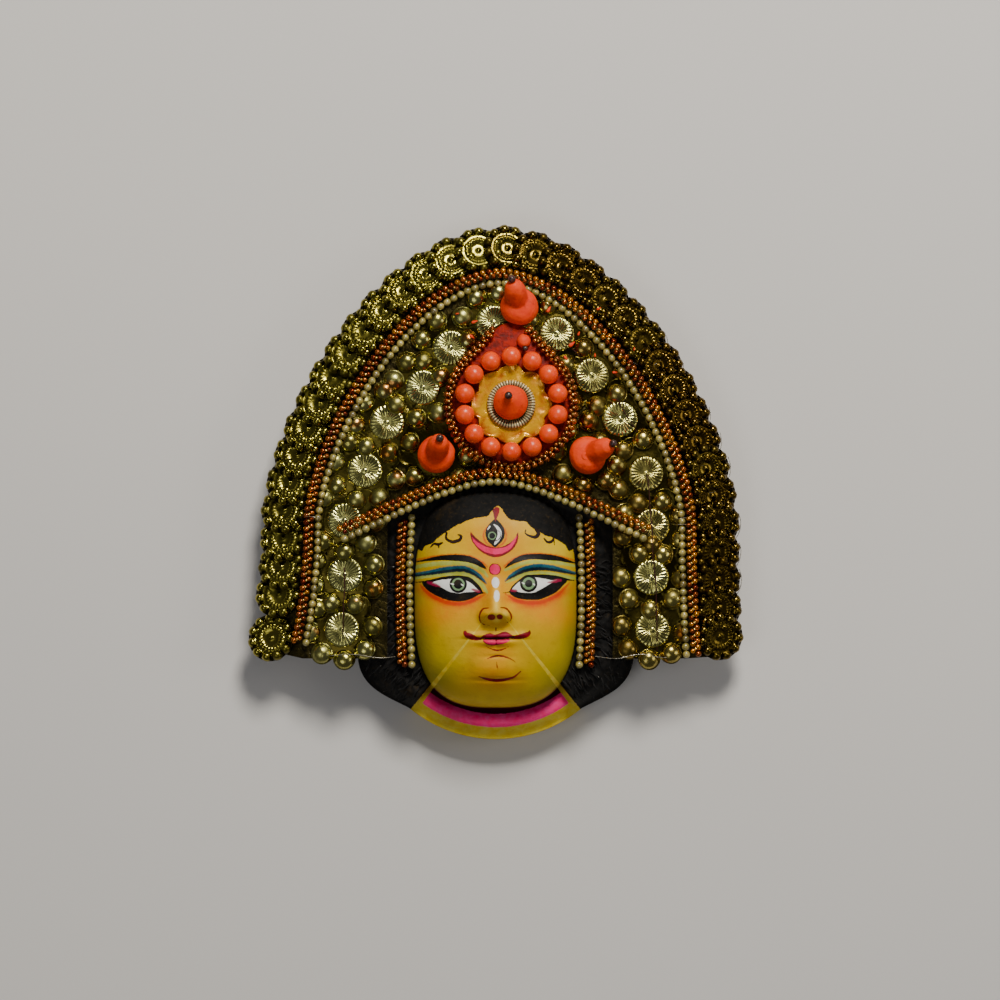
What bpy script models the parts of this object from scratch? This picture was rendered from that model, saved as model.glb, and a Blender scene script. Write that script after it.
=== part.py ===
"""A chhau dance mask, lying face up: a papier-mache face with a tall arched crown.

The head is one hollow papier-mache shell, open at the back. An arched card board stands
round it, dressed with stamped foil discs and flowers, strings of pearls and copper beads,
a teardrop medallion and three orange finials. Lengths below are in millimetres. +Y runs
towards the top of the crown, +X to the right of the face, +Z up, out of the face.
"""
import math

import bpy
import bmesh
from mathutils import Matrix, Vector

MM = 0.001
GAP = 0.3                     # air kept between two pieces that touch

# Head shell: the face's middle is the nose tip, and the outline runs round it
WALL = 3.0
FACE_X, FACE_Y = 0.3, -61.0
FACE_HALF_WIDTH = 40.0
FACE_UP = 59.0                # from the nose tip to the top of the painted hair
FACE_DOWN = 52.0              # from the nose tip to the point of the chin
FACE_CROWN_Z = 50.0           # height of the cheeks and brow over the back rim
FACE_SIDE_Z = 28.0            # height of the face's edge beside the hair
CHIN_DROP = 7.0               # how much lower the face's edge runs under the chin
NECK_RADIUS = 67.7
NECK_SPREAD = 39.0            # half angle of the neck collar, in degrees from straight down
NECK_ROOT_Z, NECK_SWELL_Z, NECK_EDGE_Z = 17.0, 21.0, 15.0
HEAD_HALF_WIDTH = 66.0
HEAD_UP = 100.0
HAIR_LOBE = 9.5               # how far the hair swells out beside the neck
HAIR_EDGE_Z = 13.0
SPOKES = 40

# Features of the face: places are from the face's middle, heights from its dome
NOSE_HEIGHT, NOSE_TOP, NOSE_TIP, NOSE_FOOT = 9.5, 17.0, -3.0, -8.5
NOSTRIL_OUT, NOSTRIL_DOWN, NOSTRIL_HEIGHT = 5.6, -4.4, 3.4
EYE_OUT, EYE_UP, EYE_BULGE = 18.5, 9.6, 2.4
BROW_UP, BROW_RIDGE = 20.0, 1.2
MOUTH_DOWN, MOUTH_HALF, LIP_HEIGHT = -17.0, 14.0, 2.2
CHIN_DOWN, CHIN_HEIGHT = -33.0, 2.6

# Crown arch: the line that the pearls follow, from one foot over the top to the other
ARCH_X = 2.5
ARCH_HALF_WIDTH = 91.0
ARCH_SPRING_Y = -20.0         # legs below this, curve above
ARCH_RISE = 120.0
ARCH_ROUND, ARCH_POINT = 1.724, 1.5
LEFT_FOOT_Y, RIGHT_FOOT_Y = -80.0, -86.0
LEFT_FLARE, RIGHT_FLARE = 6.5, 2.0
FLARE_LENGTH = 62.0

# Crown board: its face bulges forward at the brow and slopes back outside the arch
BOARD_THICK = 2.4
ARCH_Z = 26.0
BOARD_BULGE = 7.0
BAND_SLOPE = math.radians(20)
BOARD_REACH = 21.0            # from the arch line to the board's outer edge
BOARD_FOOT_Y = -88.0
OPENING_SHARE = 0.62          # width of the head opening as a share of the arch's
OPENING_RISE = 2.6            # the opening's edge lies this far above the brow line

# Brow line, which the lower pearls follow
BROW_Y, BROW_FALL, BROW_BEND = 0.3, 0.52, 24.0
BROW_LEFT_X, BROW_RIGHT_X = -75.0, 74.0

# Strings of beads
PEARL_R = 1.9
COPPER_R = 2.2
STRING_PITCH = 4.75           # between a pearl string and the copper string beside it
COPPER_LIFT = 2.6             # the arch's copper string lies on the discs' inner edges
STRING_STEP = 14.0            # between the knots of a string's path
SIDE_PEARL_X, SIDE_TOP_Y, SIDE_FOOT_Y = 43.0, -17.5, -91.0
SIDE_LIFT = 1.2               # the side strings ride this far above the edge of the face

# Stamped discs of the outer band, each lying on the one before like a tile
DISC_R = 12.2
DISC_OFFSET = 16.5
DISC_PITCH = 14.0
DISC_TILT = math.radians(8)
DISC_RIM, DISC_DISH = 1.7, 0.3
DISC_LEFT_Y, DISC_RIGHT_Y = -81.0, -78.0
DISC_FIRST_STEP = 20.4        # the first disc is set further off, so that it shows whole
DISC_EDGE = 0.9
DISC_LOBES = 9

# Stamped flowers of the inner panel
FLOWER_R = 19.8
FLOWER_PETALS = 6
FLOWER_DOME_R, FLOWER_DOME = 14.7, 3.2
FLOWER_DISC_R, FLOWER_DISC = 8.7, 1.8
FLOWER_HUB = 0.9
FLOWER_PLATE = 0.8
FLOWER_TOP = FLOWER_PLATE + FLOWER_DOME
FLOWER_TURN = 30.0
# Each flower's place as a share of the arch's half width from its middle, and of its rise over the spring
LEFT_FLOWERS = ((-0.0363, 0.8333), (-0.2725, 0.7283), (-0.4231, 0.5625), (-0.6209, 0.4167),
                (-0.7418, 0.2167), (-0.8516, 0.0083), (-0.8516, -0.2167), (-0.8681, -0.4458),
                (-0.3462, 0.2817))
RIGHT_FLOWERS = ((0.3121, 0.7858), (0.5033, 0.6133), (0.6593, 0.4325), (0.8022, 0.2042),
                 (0.8330, -0.0150), (0.8297, -0.2275), (0.8374, -0.4458), (0.4780, 0.2792))

# Medallion: a teardrop board with a ring of orange beads round a fluted ring and a cone
# It is drawn at full size and then fitted between the brow and the top finial
MEDAL_X = 8.0
FINIAL_DROP = 12.8            # the top finial's middle under the arch's top
MEDAL_FIT = (ARCH_SPRING_Y + ARCH_RISE - FINIAL_DROP - BROW_Y) / 86.9
MEDAL_Y = BROW_Y + 38.3 * MEDAL_FIT
MEDAL_R = 31.3
MEDAL_POINT, MEDAL_POINT_SPREAD = 10.0, 22.0
MEDAL_THICK = 4.6
MEDAL_SIDES = 32
BEAD_RING_R, BEAD_R, BEAD_COUNT = 23.8, 4.9, 14
PLATE_IN_R, PLATE_OUT_R, PLATE_THICK, PLATE_POINTS = 16.0, 20.0, 0.9, 8
FLUTE_OUT_R, FLUTE_IN_R, FLUTE_HEIGHT, FLUTES = 12.0, 8.0, 2.6, 20
CONE_R, CONE_HEIGHT = 8.6, 12.0
CONE_LEAN_X, CONE_LEAN_Y = -1.5, 3.2    # the cone's top stands off its foot by this much
BUD_OUT, BUD_UP, BUD_R = 6.3, 32.0, 3.5      # from the medallion's middle
BUD_TIP_R = 1.5
CHAIN_KNOTS = 24
CHAIN_GAP = 14.0              # the copper string stops this many degrees short of the point

# Finials: a dome with a leaning bulb and a dark bead at its tip
FINIAL_R, FINIAL_DOME = 9.4, 7.4
BULB_R, BULB_LENGTH = 5.0, 17.0
TIP_R = 2.0
# x, y, height of the foot over the board, lean and bearing of the lean in degrees
FINIAL_TOP = (12.0, ARCH_SPRING_Y + ARCH_RISE - FINIAL_DROP, MEDAL_THICK + 1.6, 42.0, 109.0)
FINIAL_LEFT = (-29.0, 13.8, FLOWER_TOP + 2 * GAP, 24.0, 68.0)
FINIAL_RIGHT = (46.0, 13.5, FLOWER_TOP + 2 * GAP, 40.0, 24.0)

COLOURS = {                                  # colour, roughness, metallic
    "ochre_paint": ((0.72, 0.47, 0.04), 0.55, 0.0),
    "card": ((0.30, 0.22, 0.12), 0.85, 0.0),
    "gold_foil": ((0.42, 0.36, 0.11), 0.3, 0.9),
    "olive_foil": ((0.45, 0.43, 0.15), 0.28, 0.9),
    "pearl": ((0.72, 0.70, 0.52), 0.3, 0.1),
    "copper": ((0.50, 0.20, 0.10), 0.3, 0.8),
    "red_card": ((0.60, 0.07, 0.02), 0.6, 0.0),
    "amber": ((0.80, 0.50, 0.03), 0.25, 0.0),
    "orange_bead": ((0.90, 0.16, 0.03), 0.35, 0.0),
    "orange_paint": ((0.85, 0.10, 0.015), 0.6, 0.0),
    "dark_bead": ((0.05, 0.04, 0.035), 0.2, 0.5),
}


def smooth(low, high, value):
    """Rises softly from 0 at low to 1 at high; low may be the larger."""
    t = min(1.0, max(0.0, (value - low) / (high - low)))
    return t * t * (3 - 2 * t)


def bump(x, y, across, along):
    """A soft round hill of height 1."""
    return math.exp(-(x / across) ** 2 - (y / along) ** 2)


def blend(a, b, t):
    return a + (b - a) * t


# Crown surface and arch line

def arch_drop(x, y):
    """0 in the middle of the crown's foot, 1 on the arch line, more where the feet flare."""
    up = max(0.0, (y - ARCH_SPRING_Y) / ARCH_RISE)
    level = (abs(x - ARCH_X) / ARCH_HALF_WIDTH) ** ARCH_ROUND + up ** ARCH_POINT
    return min(1.2, level) ** 1.2


def board_top(x, y):
    return ARCH_Z + BOARD_BULGE * (1 - arch_drop(x, y))


def brow_line(x):
    return BROW_Y - BROW_FALL * (math.hypot(x, BROW_BEND) - BROW_BEND)


def arch_leg(side, y):
    """A point on the straight leg at height y; side is -1 for the left leg, 1 for the right."""
    flare = LEFT_FLARE if side < 0 else RIGHT_FLARE
    below = (ARCH_SPRING_Y - y) / FLARE_LENGTH
    return Vector((ARCH_X + side * (ARCH_HALF_WIDTH + flare * below ** 2), y))


def arch_curve(angle):
    """A point on the arch's curve: 0 at the left spring, 180 at the right one."""
    c, s = math.cos(math.radians(angle)), math.sin(math.radians(angle))
    across = abs(c) ** (2 / ARCH_ROUND)
    return Vector((ARCH_X - math.copysign(ARCH_HALF_WIDTH * across, c),
                   ARCH_SPRING_Y + ARCH_RISE * s ** (2 / ARCH_POINT)))


def arch_line(left_foot, right_foot, offset=0.0):
    """The arch from the left foot to the right, as closely spaced points, moved outwards."""
    steps = 40
    points = [arch_leg(-1, blend(left_foot, ARCH_SPRING_Y, i / steps)) for i in range(steps)]
    points += [arch_curve(180 * i / (4 * steps)) for i in range(4 * steps + 1)]
    points += [arch_leg(1, blend(ARCH_SPRING_Y, right_foot, i / steps)) for i in range(1, steps + 1)]
    return offset_line(points, offset)


def offset_line(points, offset):
    moved = []
    for i, point in enumerate(points):
        along = points[min(i + 3, len(points) - 1)] - points[max(i - 3, 0)]
        along.normalize()
        moved.append(point + offset * Vector((-along.y, along.x)))
    return moved


def even_points(points, spacing):
    """Points at even distances along a line, with the direction there."""
    lengths = [0.0]
    for a, b in zip(points, points[1:]):
        lengths.append(lengths[-1] + (b - a).length)
    count = max(1, round(lengths[-1] / spacing))
    result, k = [], 0
    for i in range(count + 1):
        goal = lengths[-1] * i / count
        while k < len(points) - 2 and lengths[k + 1] < goal:
            k += 1
        step = points[k + 1] - points[k]
        share = (goal - lengths[k]) / max(step.length, 1e-9)
        result.append((points[k] + step * share, step.normalized()))
    return result


def seat(x, y, lift=0.0):
    """A frame that stands on the crown board at x, y, with its Z along the board's normal."""
    d = 0.5
    slope_x = (board_top(x + d, y) - board_top(x - d, y)) / (2 * d)
    slope_y = (board_top(x, y + d) - board_top(x, y - d)) / (2 * d)
    normal = Vector((-slope_x, -slope_y, 1)).normalized()
    right = Vector((1, 0, slope_x)).normalized()
    up = normal.cross(right)
    origin = Vector((x, y, board_top(x, y))) + normal * lift
    return Matrix.Translation(origin) @ Matrix((right, up, normal)).transposed().to_4x4()


# Meshes and objects

def skin(rings):
    """A closed mesh through rings of points, listed from below; a ring of one is a pole."""
    bm = bmesh.new()
    rows = [[bm.verts.new(p) for p in ring] for ring in rings]
    for low, high in zip(rows, rows[1:]):
        count = max(len(low), len(high))
        for i in range(count):
            j = (i + 1) % count
            if len(low) == 1:
                bm.faces.new((low[0], high[j], high[i]))
            elif len(high) == 1:
                bm.faces.new((low[i], low[j], high[0]))
            else:
                bm.faces.new((low[i], low[j], high[j], high[i]))
    for row, turn in ((rows[0], -1), (rows[-1], 1)):
        if len(row) > 1:
            bm.faces.new(row[::turn])
    return bm


def circle(radius, z, count, turn=0.0):
    angles = [turn + 2 * math.pi * i / count for i in range(count)]
    return [Vector((radius * math.cos(a), radius * math.sin(a), z)) for a in angles]


def lathe(profile, count):
    """A turned solid; the profile's (radius, height) pairs run from the foot to the top."""
    return skin([circle(r, z, count) if r else [Vector((0, 0, z))] for r, z in profile])


def material(name):
    colour, roughness, metallic = COLOURS[name]
    made = bpy.data.materials.get(name) or bpy.data.materials.new(name)
    made.use_nodes = True
    shader = made.node_tree.nodes["Principled BSDF"]
    shader.inputs["Base Color"].default_value = (*colour, 1)
    shader.inputs["Roughness"].default_value = roughness
    shader.inputs["Metallic"].default_value = metallic
    return made


def add_object(name, bm, finish, place=None, flat=True):
    """An object from a mesh in millimetres, placed by its matrix under the mask's empty."""
    bm.transform(Matrix.Scale(MM, 4))
    mesh = bpy.data.meshes.new(name)
    bm.to_mesh(mesh)
    bm.free()
    if not flat:
        mesh.shade_smooth()
        mesh.set_sharp_from_angle(angle=math.radians(40))
    obj = bpy.data.objects.new(name, mesh)
    mesh.materials.append(material(finish))
    bpy.context.collection.objects.link(obj)
    if place is not None:
        place = place.copy()
        place.translation *= MM
        obj.matrix_world = place
    obj.parent = mask
    return obj


def combine(name, first, others, operation, finish):
    """One solid from a first object and others, which are taken out again."""
    bpy.context.view_layer.update()
    tools = bpy.data.collections.new(name + "_tools")
    for other in others:
        tools.objects.link(other)
    change = first.modifiers.new(operation, "BOOLEAN")
    change.operation = operation
    change.operand_type = "COLLECTION"
    change.collection = tools
    change.solver = "EXACT"
    depsgraph = bpy.context.evaluated_depsgraph_get()
    bm = bmesh.new()
    bm.from_mesh(first.evaluated_get(depsgraph).to_mesh())
    bm.transform(first.matrix_world)
    bm.transform(Matrix.Scale(1 / MM, 4))
    for used in [first, *others]:
        bpy.data.objects.remove(used)
    bpy.data.collections.remove(tools)
    bmesh.ops.remove_doubles(bm, verts=bm.verts, dist=0.002)
    return add_object(name, bm, finish)


def string_of_beads(name, points, radius, finish):
    """A bead string as one round cord through its points."""
    curve = bpy.data.curves.new(name, "CURVE")
    curve.dimensions = "3D"
    curve.bevel_depth = radius * MM
    curve.bevel_resolution = 0
    curve.use_fill_caps = True
    spline = curve.splines.new("POLY")
    spline.points.add(len(points) - 1)
    for knot, point in zip(spline.points, points):
        knot.co = (*(Vector(point) * MM), 1)
    curve.materials.append(material(finish))
    obj = bpy.data.objects.new(name, curve)
    bpy.context.collection.objects.link(obj)
    obj.parent = mask
    return obj


# Head shell

def face_radius(angle, inset=0.0):
    """Distance from the face's middle to its edge; angle in degrees from straight down."""
    c, s = -math.cos(math.radians(angle)), math.sin(math.radians(angle))
    reach, power = (FACE_UP, 2.4) if c > 0 else (FACE_DOWN, 2.8)
    wide = abs(s) / (FACE_HALF_WIDTH - inset)
    tall = abs(c) / (reach - inset)
    return (wide ** power + tall ** power) ** (-1 / power)


def outline_radius(angle):
    """Distance from the face's middle to the shell's outline: neck, hair lobes, back of head."""
    angle = abs(angle)
    if angle <= NECK_SPREAD:
        return NECK_RADIUS
    if angle < 90:
        return HEAD_HALF_WIDTH + HAIR_LOBE * math.exp(-((angle - 62) / 17) ** 2)
    a = math.radians(angle)
    return 1 / math.hypot(math.sin(a) / HEAD_HALF_WIDTH, math.cos(a) / HEAD_UP)


def relief(x, y):
    """Height of the features over the face's dome, at x, y from its middle."""
    side = abs(x)
    length = smooth(NOSE_TOP, NOSE_TIP, y) ** 1.3 * (1 - smooth(NOSE_TIP - 1, NOSE_FOOT, y))
    width = blend(3.2, 5.6, smooth(NOSE_TOP - 6, NOSE_TIP, y))
    z = NOSE_HEIGHT * length * math.exp(-(side / width) ** 2.2)
    z += NOSTRIL_HEIGHT * bump(side - NOSTRIL_OUT, y - NOSTRIL_DOWN, 2.6, 2.8)
    z += BROW_RIDGE * bump(side - EYE_OUT, y - BROW_UP, 15, 3.4)
    z -= 2.4 * bump(side - EYE_OUT, y - EYE_UP - 1.5, 12, 7)
    z += EYE_BULGE * bump(side - EYE_OUT - 2, y - EYE_UP, 11, 4.4)
    z += LIP_HEIGHT * bump(x, y - MOUTH_DOWN + 1.6, 0.8 * MOUTH_HALF, 1.9)
    z += LIP_HEIGHT * bump(x, y - MOUTH_DOWN - 2.0, MOUTH_HALF, 1.7)
    z += 1.5 * bump(side - 22, y + 10, 11, 11)
    z += CHIN_HEIGHT * bump(x, y - CHIN_DOWN, 11, 7)
    z -= 1.0 * bump(x, y - CHIN_DOWN - 7.5, 9, 2)
    return z


def face_height(angle, share, inset=0.0):
    """Height of the face's dome at a share of the way from its middle to its edge."""
    edge = FACE_SIDE_Z - CHIN_DROP * math.exp(-(angle / 35) ** 2)
    dome = max(0.0, 1 - share ** 2.6) ** 0.55
    return edge + (FACE_CROWN_Z - edge) * dome - inset


def surround_height(angle, share, x, y):
    """Height of neck and hair, at a share of the way from the face's edge to the outline."""
    under_board = board_top(x, y) - BOARD_THICK - GAP
    tucked = smooth(3, 12, y - brow_line(x))
    shelf = min(blend(FACE_SIDE_Z, under_board, tucked), under_board)
    hair = blend(shelf, HAIR_EDGE_Z, smooth(0.5, 1.0, share) ** 1.4)
    neck = blend(NECK_ROOT_Z, NECK_SWELL_Z, smooth(0, 0.35, share))
    neck = blend(neck, NECK_EDGE_Z, smooth(0.45, 1.0, share))
    return blend(neck, hair, smooth(NECK_SPREAD - 1, NECK_SPREAD + 4, abs(angle)))


def make_face_mask():
    angles = [-180 + 360 * i / SPOKES for i in range(SPOKES)]

    def ring(radius_of, height_of):
        points = []
        for angle in angles:
            r = radius_of(angle)
            x = FACE_X + r * math.sin(math.radians(angle))
            y = FACE_Y - r * math.cos(math.radians(angle))
            points.append(Vector((x, y, height_of(angle, x, y))))
        return points

    def inside(angle, share):
        return blend(face_radius(angle, WALL), outline_radius(angle) - WALL, share)

    rings = [[Vector((FACE_X, FACE_Y, face_height(0, 0, WALL)))]]
    for share in (0.5, 0.84):
        rings.append(ring(lambda a: share * face_radius(a, WALL),
                          lambda a, x, y: face_height(a, share, WALL)))
    for share in (0.0, 0.5, 1.0):
        rings.append(ring(lambda a: inside(a, share),
                          lambda a, x, y: surround_height(a, share, x, y) - WALL))
    rings.append(ring(lambda a: inside(a, 1.0), lambda a, x, y: 0.0))
    rings.append(ring(outline_radius, lambda a, x, y: 0.0))
    for share in (1.0, 0.86, 0.66, 0.42, 0.16):
        rings.append(ring(lambda a: blend(face_radius(a), outline_radius(a), share),
                          lambda a, x, y: surround_height(a, share, x, y)))
    for share in (1.0, 0.96, 0.87, 0.76, 0.64, 0.53, 0.43, 0.33, 0.24, 0.16, 0.08):
        rings.append(ring(lambda a: share * face_radius(a),
                          lambda a, x, y: face_height(a, share) + relief(x - FACE_X, y - FACE_Y)))
    rings.append([Vector((FACE_X, FACE_Y, face_height(0, 0) + relief(0, 0)))])
    add_object("face_mask", skin(rings), "ochre_paint", flat=False)


# Crown board

def make_crown_board():
    rungs = [arch_leg(-1, blend(BOARD_FOOT_Y, ARCH_SPRING_Y, i / 4)) for i in range(4)]
    rungs += [arch_curve(10 * i) for i in range(19)]
    rungs += [arch_leg(1, blend(ARCH_SPRING_Y, BOARD_FOOT_Y, i / 4)) for i in range(1, 5)]
    outer = offset_line(arch_line(BOARD_FOOT_Y, BOARD_FOOT_Y), BOARD_REACH)
    sections = []
    for arch in rungs:
        inner_x = ARCH_X + OPENING_SHARE * (arch.x - ARCH_X)
        if arch.y < ARCH_SPRING_Y:
            inner_x = ARCH_X + math.copysign(OPENING_SHARE * ARCH_HALF_WIDTH, arch.x)
        below = (ARCH_SPRING_Y - arch.y) / (ARCH_SPRING_Y - BOARD_FOOT_Y)
        inner_y = brow_line(inner_x) + OPENING_RISE
        if arch.y < ARCH_SPRING_Y:
            inner_y = blend(inner_y, BOARD_FOOT_Y, below)
        inner = Vector((inner_x, inner_y))
        edge = min(outer, key=lambda p: (p - arch).length)
        top = []
        for share in (0, 0.35, 0.7, 1):
            p = inner.lerp(arch, share)
            top.append(Vector((p.x, p.y, board_top(p.x, p.y))))
        fall = math.tan(BAND_SLOPE) * BOARD_REACH
        top.append(Vector((edge.x, edge.y, top[-1].z - fall)))
        low = [p - Vector((0, 0, BOARD_THICK)) for p in reversed(top)]
        sections.append(low[::-1] + top[::-1])
    add_object("crown_board", skin(sections), "card")


# Outer band of stamped discs

def disc_mesh():
    """A dished disc with a raised rim, on a wedge that fills the space down to the board."""
    edge = circle(DISC_R, 0, DISC_LOBES)
    foot = DISC_R * math.sin(DISC_TILT) + DISC_EDGE
    low = [Vector((p.x, p.y, p.x * math.tan(DISC_TILT) - foot)) for p in edge]
    crest = circle(0.86 * DISC_R, DISC_RIM, DISC_LOBES)
    return skin([low, edge, crest, [Vector((0, 0, DISC_DISH))]])


def make_disc_band():
    line = arch_line(DISC_LEFT_Y, DISC_RIGHT_Y, DISC_OFFSET)
    rest = [p for p in line if p.x > 0 or p.y > line[0].y + DISC_FIRST_STEP]
    places = [(line[0], (line[1] - line[0]).normalized())] + even_points(rest, DISC_PITCH)
    lift = DISC_R * math.sin(DISC_TILT) + DISC_EDGE + GAP
    fall = math.tan(BAND_SLOPE) * DISC_OFFSET
    discs = []
    for centre, along in places:
        out = Vector((-along.y, along.x))
        root = centre - out * DISC_OFFSET
        climb = (board_top(*(root + along)) - board_top(*(root - along))) / 2
        ahead, outward = Vector((*along, climb)).normalized(), Vector((*out, 0))
        frame = Matrix((ahead, outward, ahead.cross(outward))).transposed()
        turn = frame.to_4x4() @ Matrix.Rotation(-BAND_SLOPE, 4, "X")
        spot = Vector((*centre, board_top(*root) - fall)) + turn.to_3x3() @ Vector((0, 0, lift))
        tilt = Matrix.Rotation(DISC_TILT, 4, "Y")
        discs.append(Matrix.Translation(spot) @ turn @ tilt)
    parts = [add_object("disc", disc_mesh(), "gold_foil", place) for place in discs]
    combine("disc_band", parts[0], parts[1:], "UNION", "gold_foil")


# Inner panel of stamped flowers

def flower_mesh():
    """Six domed petals round a fluted disc, stamped from one plate."""
    count = 2 * FLOWER_PETALS

    def ring(on_petal, between):
        points = []
        for i in range(count):
            r, z = between if i % 2 else on_petal
            a = 2 * math.pi * i / count
            points.append(Vector((r * math.cos(a), r * math.sin(a), z)))
        return points

    edge = (FLOWER_R, 0.83 * FLOWER_R)
    return skin([ring((edge[0], 0), (edge[1], 0)),
                 ring((FLOWER_DOME_R, FLOWER_TOP), (FLOWER_DOME_R, FLOWER_PLATE)),
                 ring((FLOWER_DISC_R, FLOWER_PLATE + FLOWER_DISC),
                      (FLOWER_DISC_R, FLOWER_PLATE + FLOWER_DISC)),
                 [Vector((0, 0, FLOWER_PLATE + FLOWER_HUB))]])


def prism(points, low, high):
    return skin([[Vector((*p, low)) for p in points], [Vector((*p, high)) for p in points]])


def panel_outline(side):
    """Half of the panel inside the arch pearls; side is -1 for the left half."""
    inside = arch_line(-110.0, -110.0, -(PEARL_R + 0.5))
    picked = [p for p in inside[::8] if (p.x - ARCH_X) * side > 1]
    hole = [Vector((ARCH_X, brow_line(ARCH_X)))]
    for share in (0.2, 0.4, 0.6, 0.8, 1.0):
        x = ARCH_X + side * share * OPENING_SHARE * ARCH_HALF_WIDTH
        hole.append(Vector((x, brow_line(x))))
    hole.append(Vector((hole[-1].x, -110.0)))
    top = Vector((ARCH_X, max(p.y for p in inside) - 1))
    if side < 0:
        return [top, *hole, *picked]
    return [top, *picked, *hole[::-1]]


def medal_radius(angle):
    """The teardrop's radius; angle in degrees from its point."""
    return MEDAL_R + MEDAL_POINT * math.exp(-(angle / MEDAL_POINT_SPREAD) ** 2)


def teardrop_point(angle, extra):
    r = medal_radius((angle + 180) % 360 - 180) + extra
    a = math.radians(angle)
    return Vector((-r * math.sin(a), r * math.cos(a)))


def teardrop(extra):
    return [teardrop_point(360 * i / MEDAL_SIDES, extra) for i in range(MEDAL_SIDES)]


def make_flower_panels():
    for name, spots, side in (("flowers_left", LEFT_FLOWERS, -1), ("flowers_right", RIGHT_FLOWERS, 1)):
        parts = []
        for i, (across, up) in enumerate(spots):
            x = ARCH_X + across * ARCH_HALF_WIDTH
            y = ARCH_SPRING_Y + up * ARCH_RISE
            place = seat(x, y, GAP) @ Matrix.Rotation(math.radians(FLOWER_TURN * (i % 2)), 4, "Z")
            parts.append(add_object("flower", flower_mesh(), "olive_foil", place))
        fused = combine(name + "_whole", parts[0], parts[1:], "UNION", "olive_foil")
        panel = add_object("panel", prism(panel_outline(side), 0, 60), "olive_foil")
        cut = combine(name + "_cut", fused, [panel], "INTERSECT", "olive_foil")
        clear = seat(MEDAL_X, MEDAL_Y) @ Matrix.Scale(MEDAL_FIT, 4)
        hole = add_object("hole", prism(teardrop(1.0), -20, 20), "olive_foil", clear)
        combine(name, cut, [hole], "DIFFERENCE", "olive_foil")


# Strings of beads

def make_arch_strings():
    for name, offset, radius, lift, finish in (
            ("arch_pearls", 0.0, PEARL_R, GAP, "pearl"),
            ("arch_copper", STRING_PITCH, COPPER_R, COPPER_LIFT, "copper")):
        points = []
        for p, along in even_points(arch_line(LEFT_FOOT_Y, RIGHT_FOOT_Y), STRING_STEP):
            out = Vector((-along.y, along.x)) * offset
            points.append(Vector((*(p + out), board_top(*p) + lift + radius)))
        string_of_beads(name, points, radius, finish)


def make_brow_strings():
    count = 60
    for name, rise, radius, finish in (("brow_pearls", 0.0, PEARL_R, "pearl"),
                                       ("brow_copper", STRING_PITCH, COPPER_R, "copper")):
        line = []
        for i in range(count + 1):
            x = blend(BROW_LEFT_X, BROW_RIGHT_X, i / count)
            line.append(Vector((x, brow_line(x))))
        points = []
        for p, along in even_points(offset_line(line, rise), STRING_STEP):
            lift = FLOWER_TOP + 2 * GAP + radius
            points.append(Vector((p.x, p.y, board_top(p.x, p.y) + lift)))
        string_of_beads(name, points, radius, finish)


def make_side_strings():
    for side, word in ((-1, "left"), (1, "right")):
        for kind, out, radius, finish in (("pearls", 0.0, PEARL_R, "pearl"),
                                          ("copper", STRING_PITCH, COPPER_R, "copper")):
            points = []
            for i in range(9):
                share = i / 8
                y = blend(SIDE_TOP_Y - 2 * out / STRING_PITCH, SIDE_FOOT_Y, share)
                x = FACE_X + side * (SIDE_PEARL_X + out - 1.2 * (2 * share - 1) ** 2)
                points.append(Vector((x, y, FACE_SIDE_Z + SIDE_LIFT + radius)))
            string_of_beads("side_%s_%s" % (kind, word), points, radius, finish)


# Medallion

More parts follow.
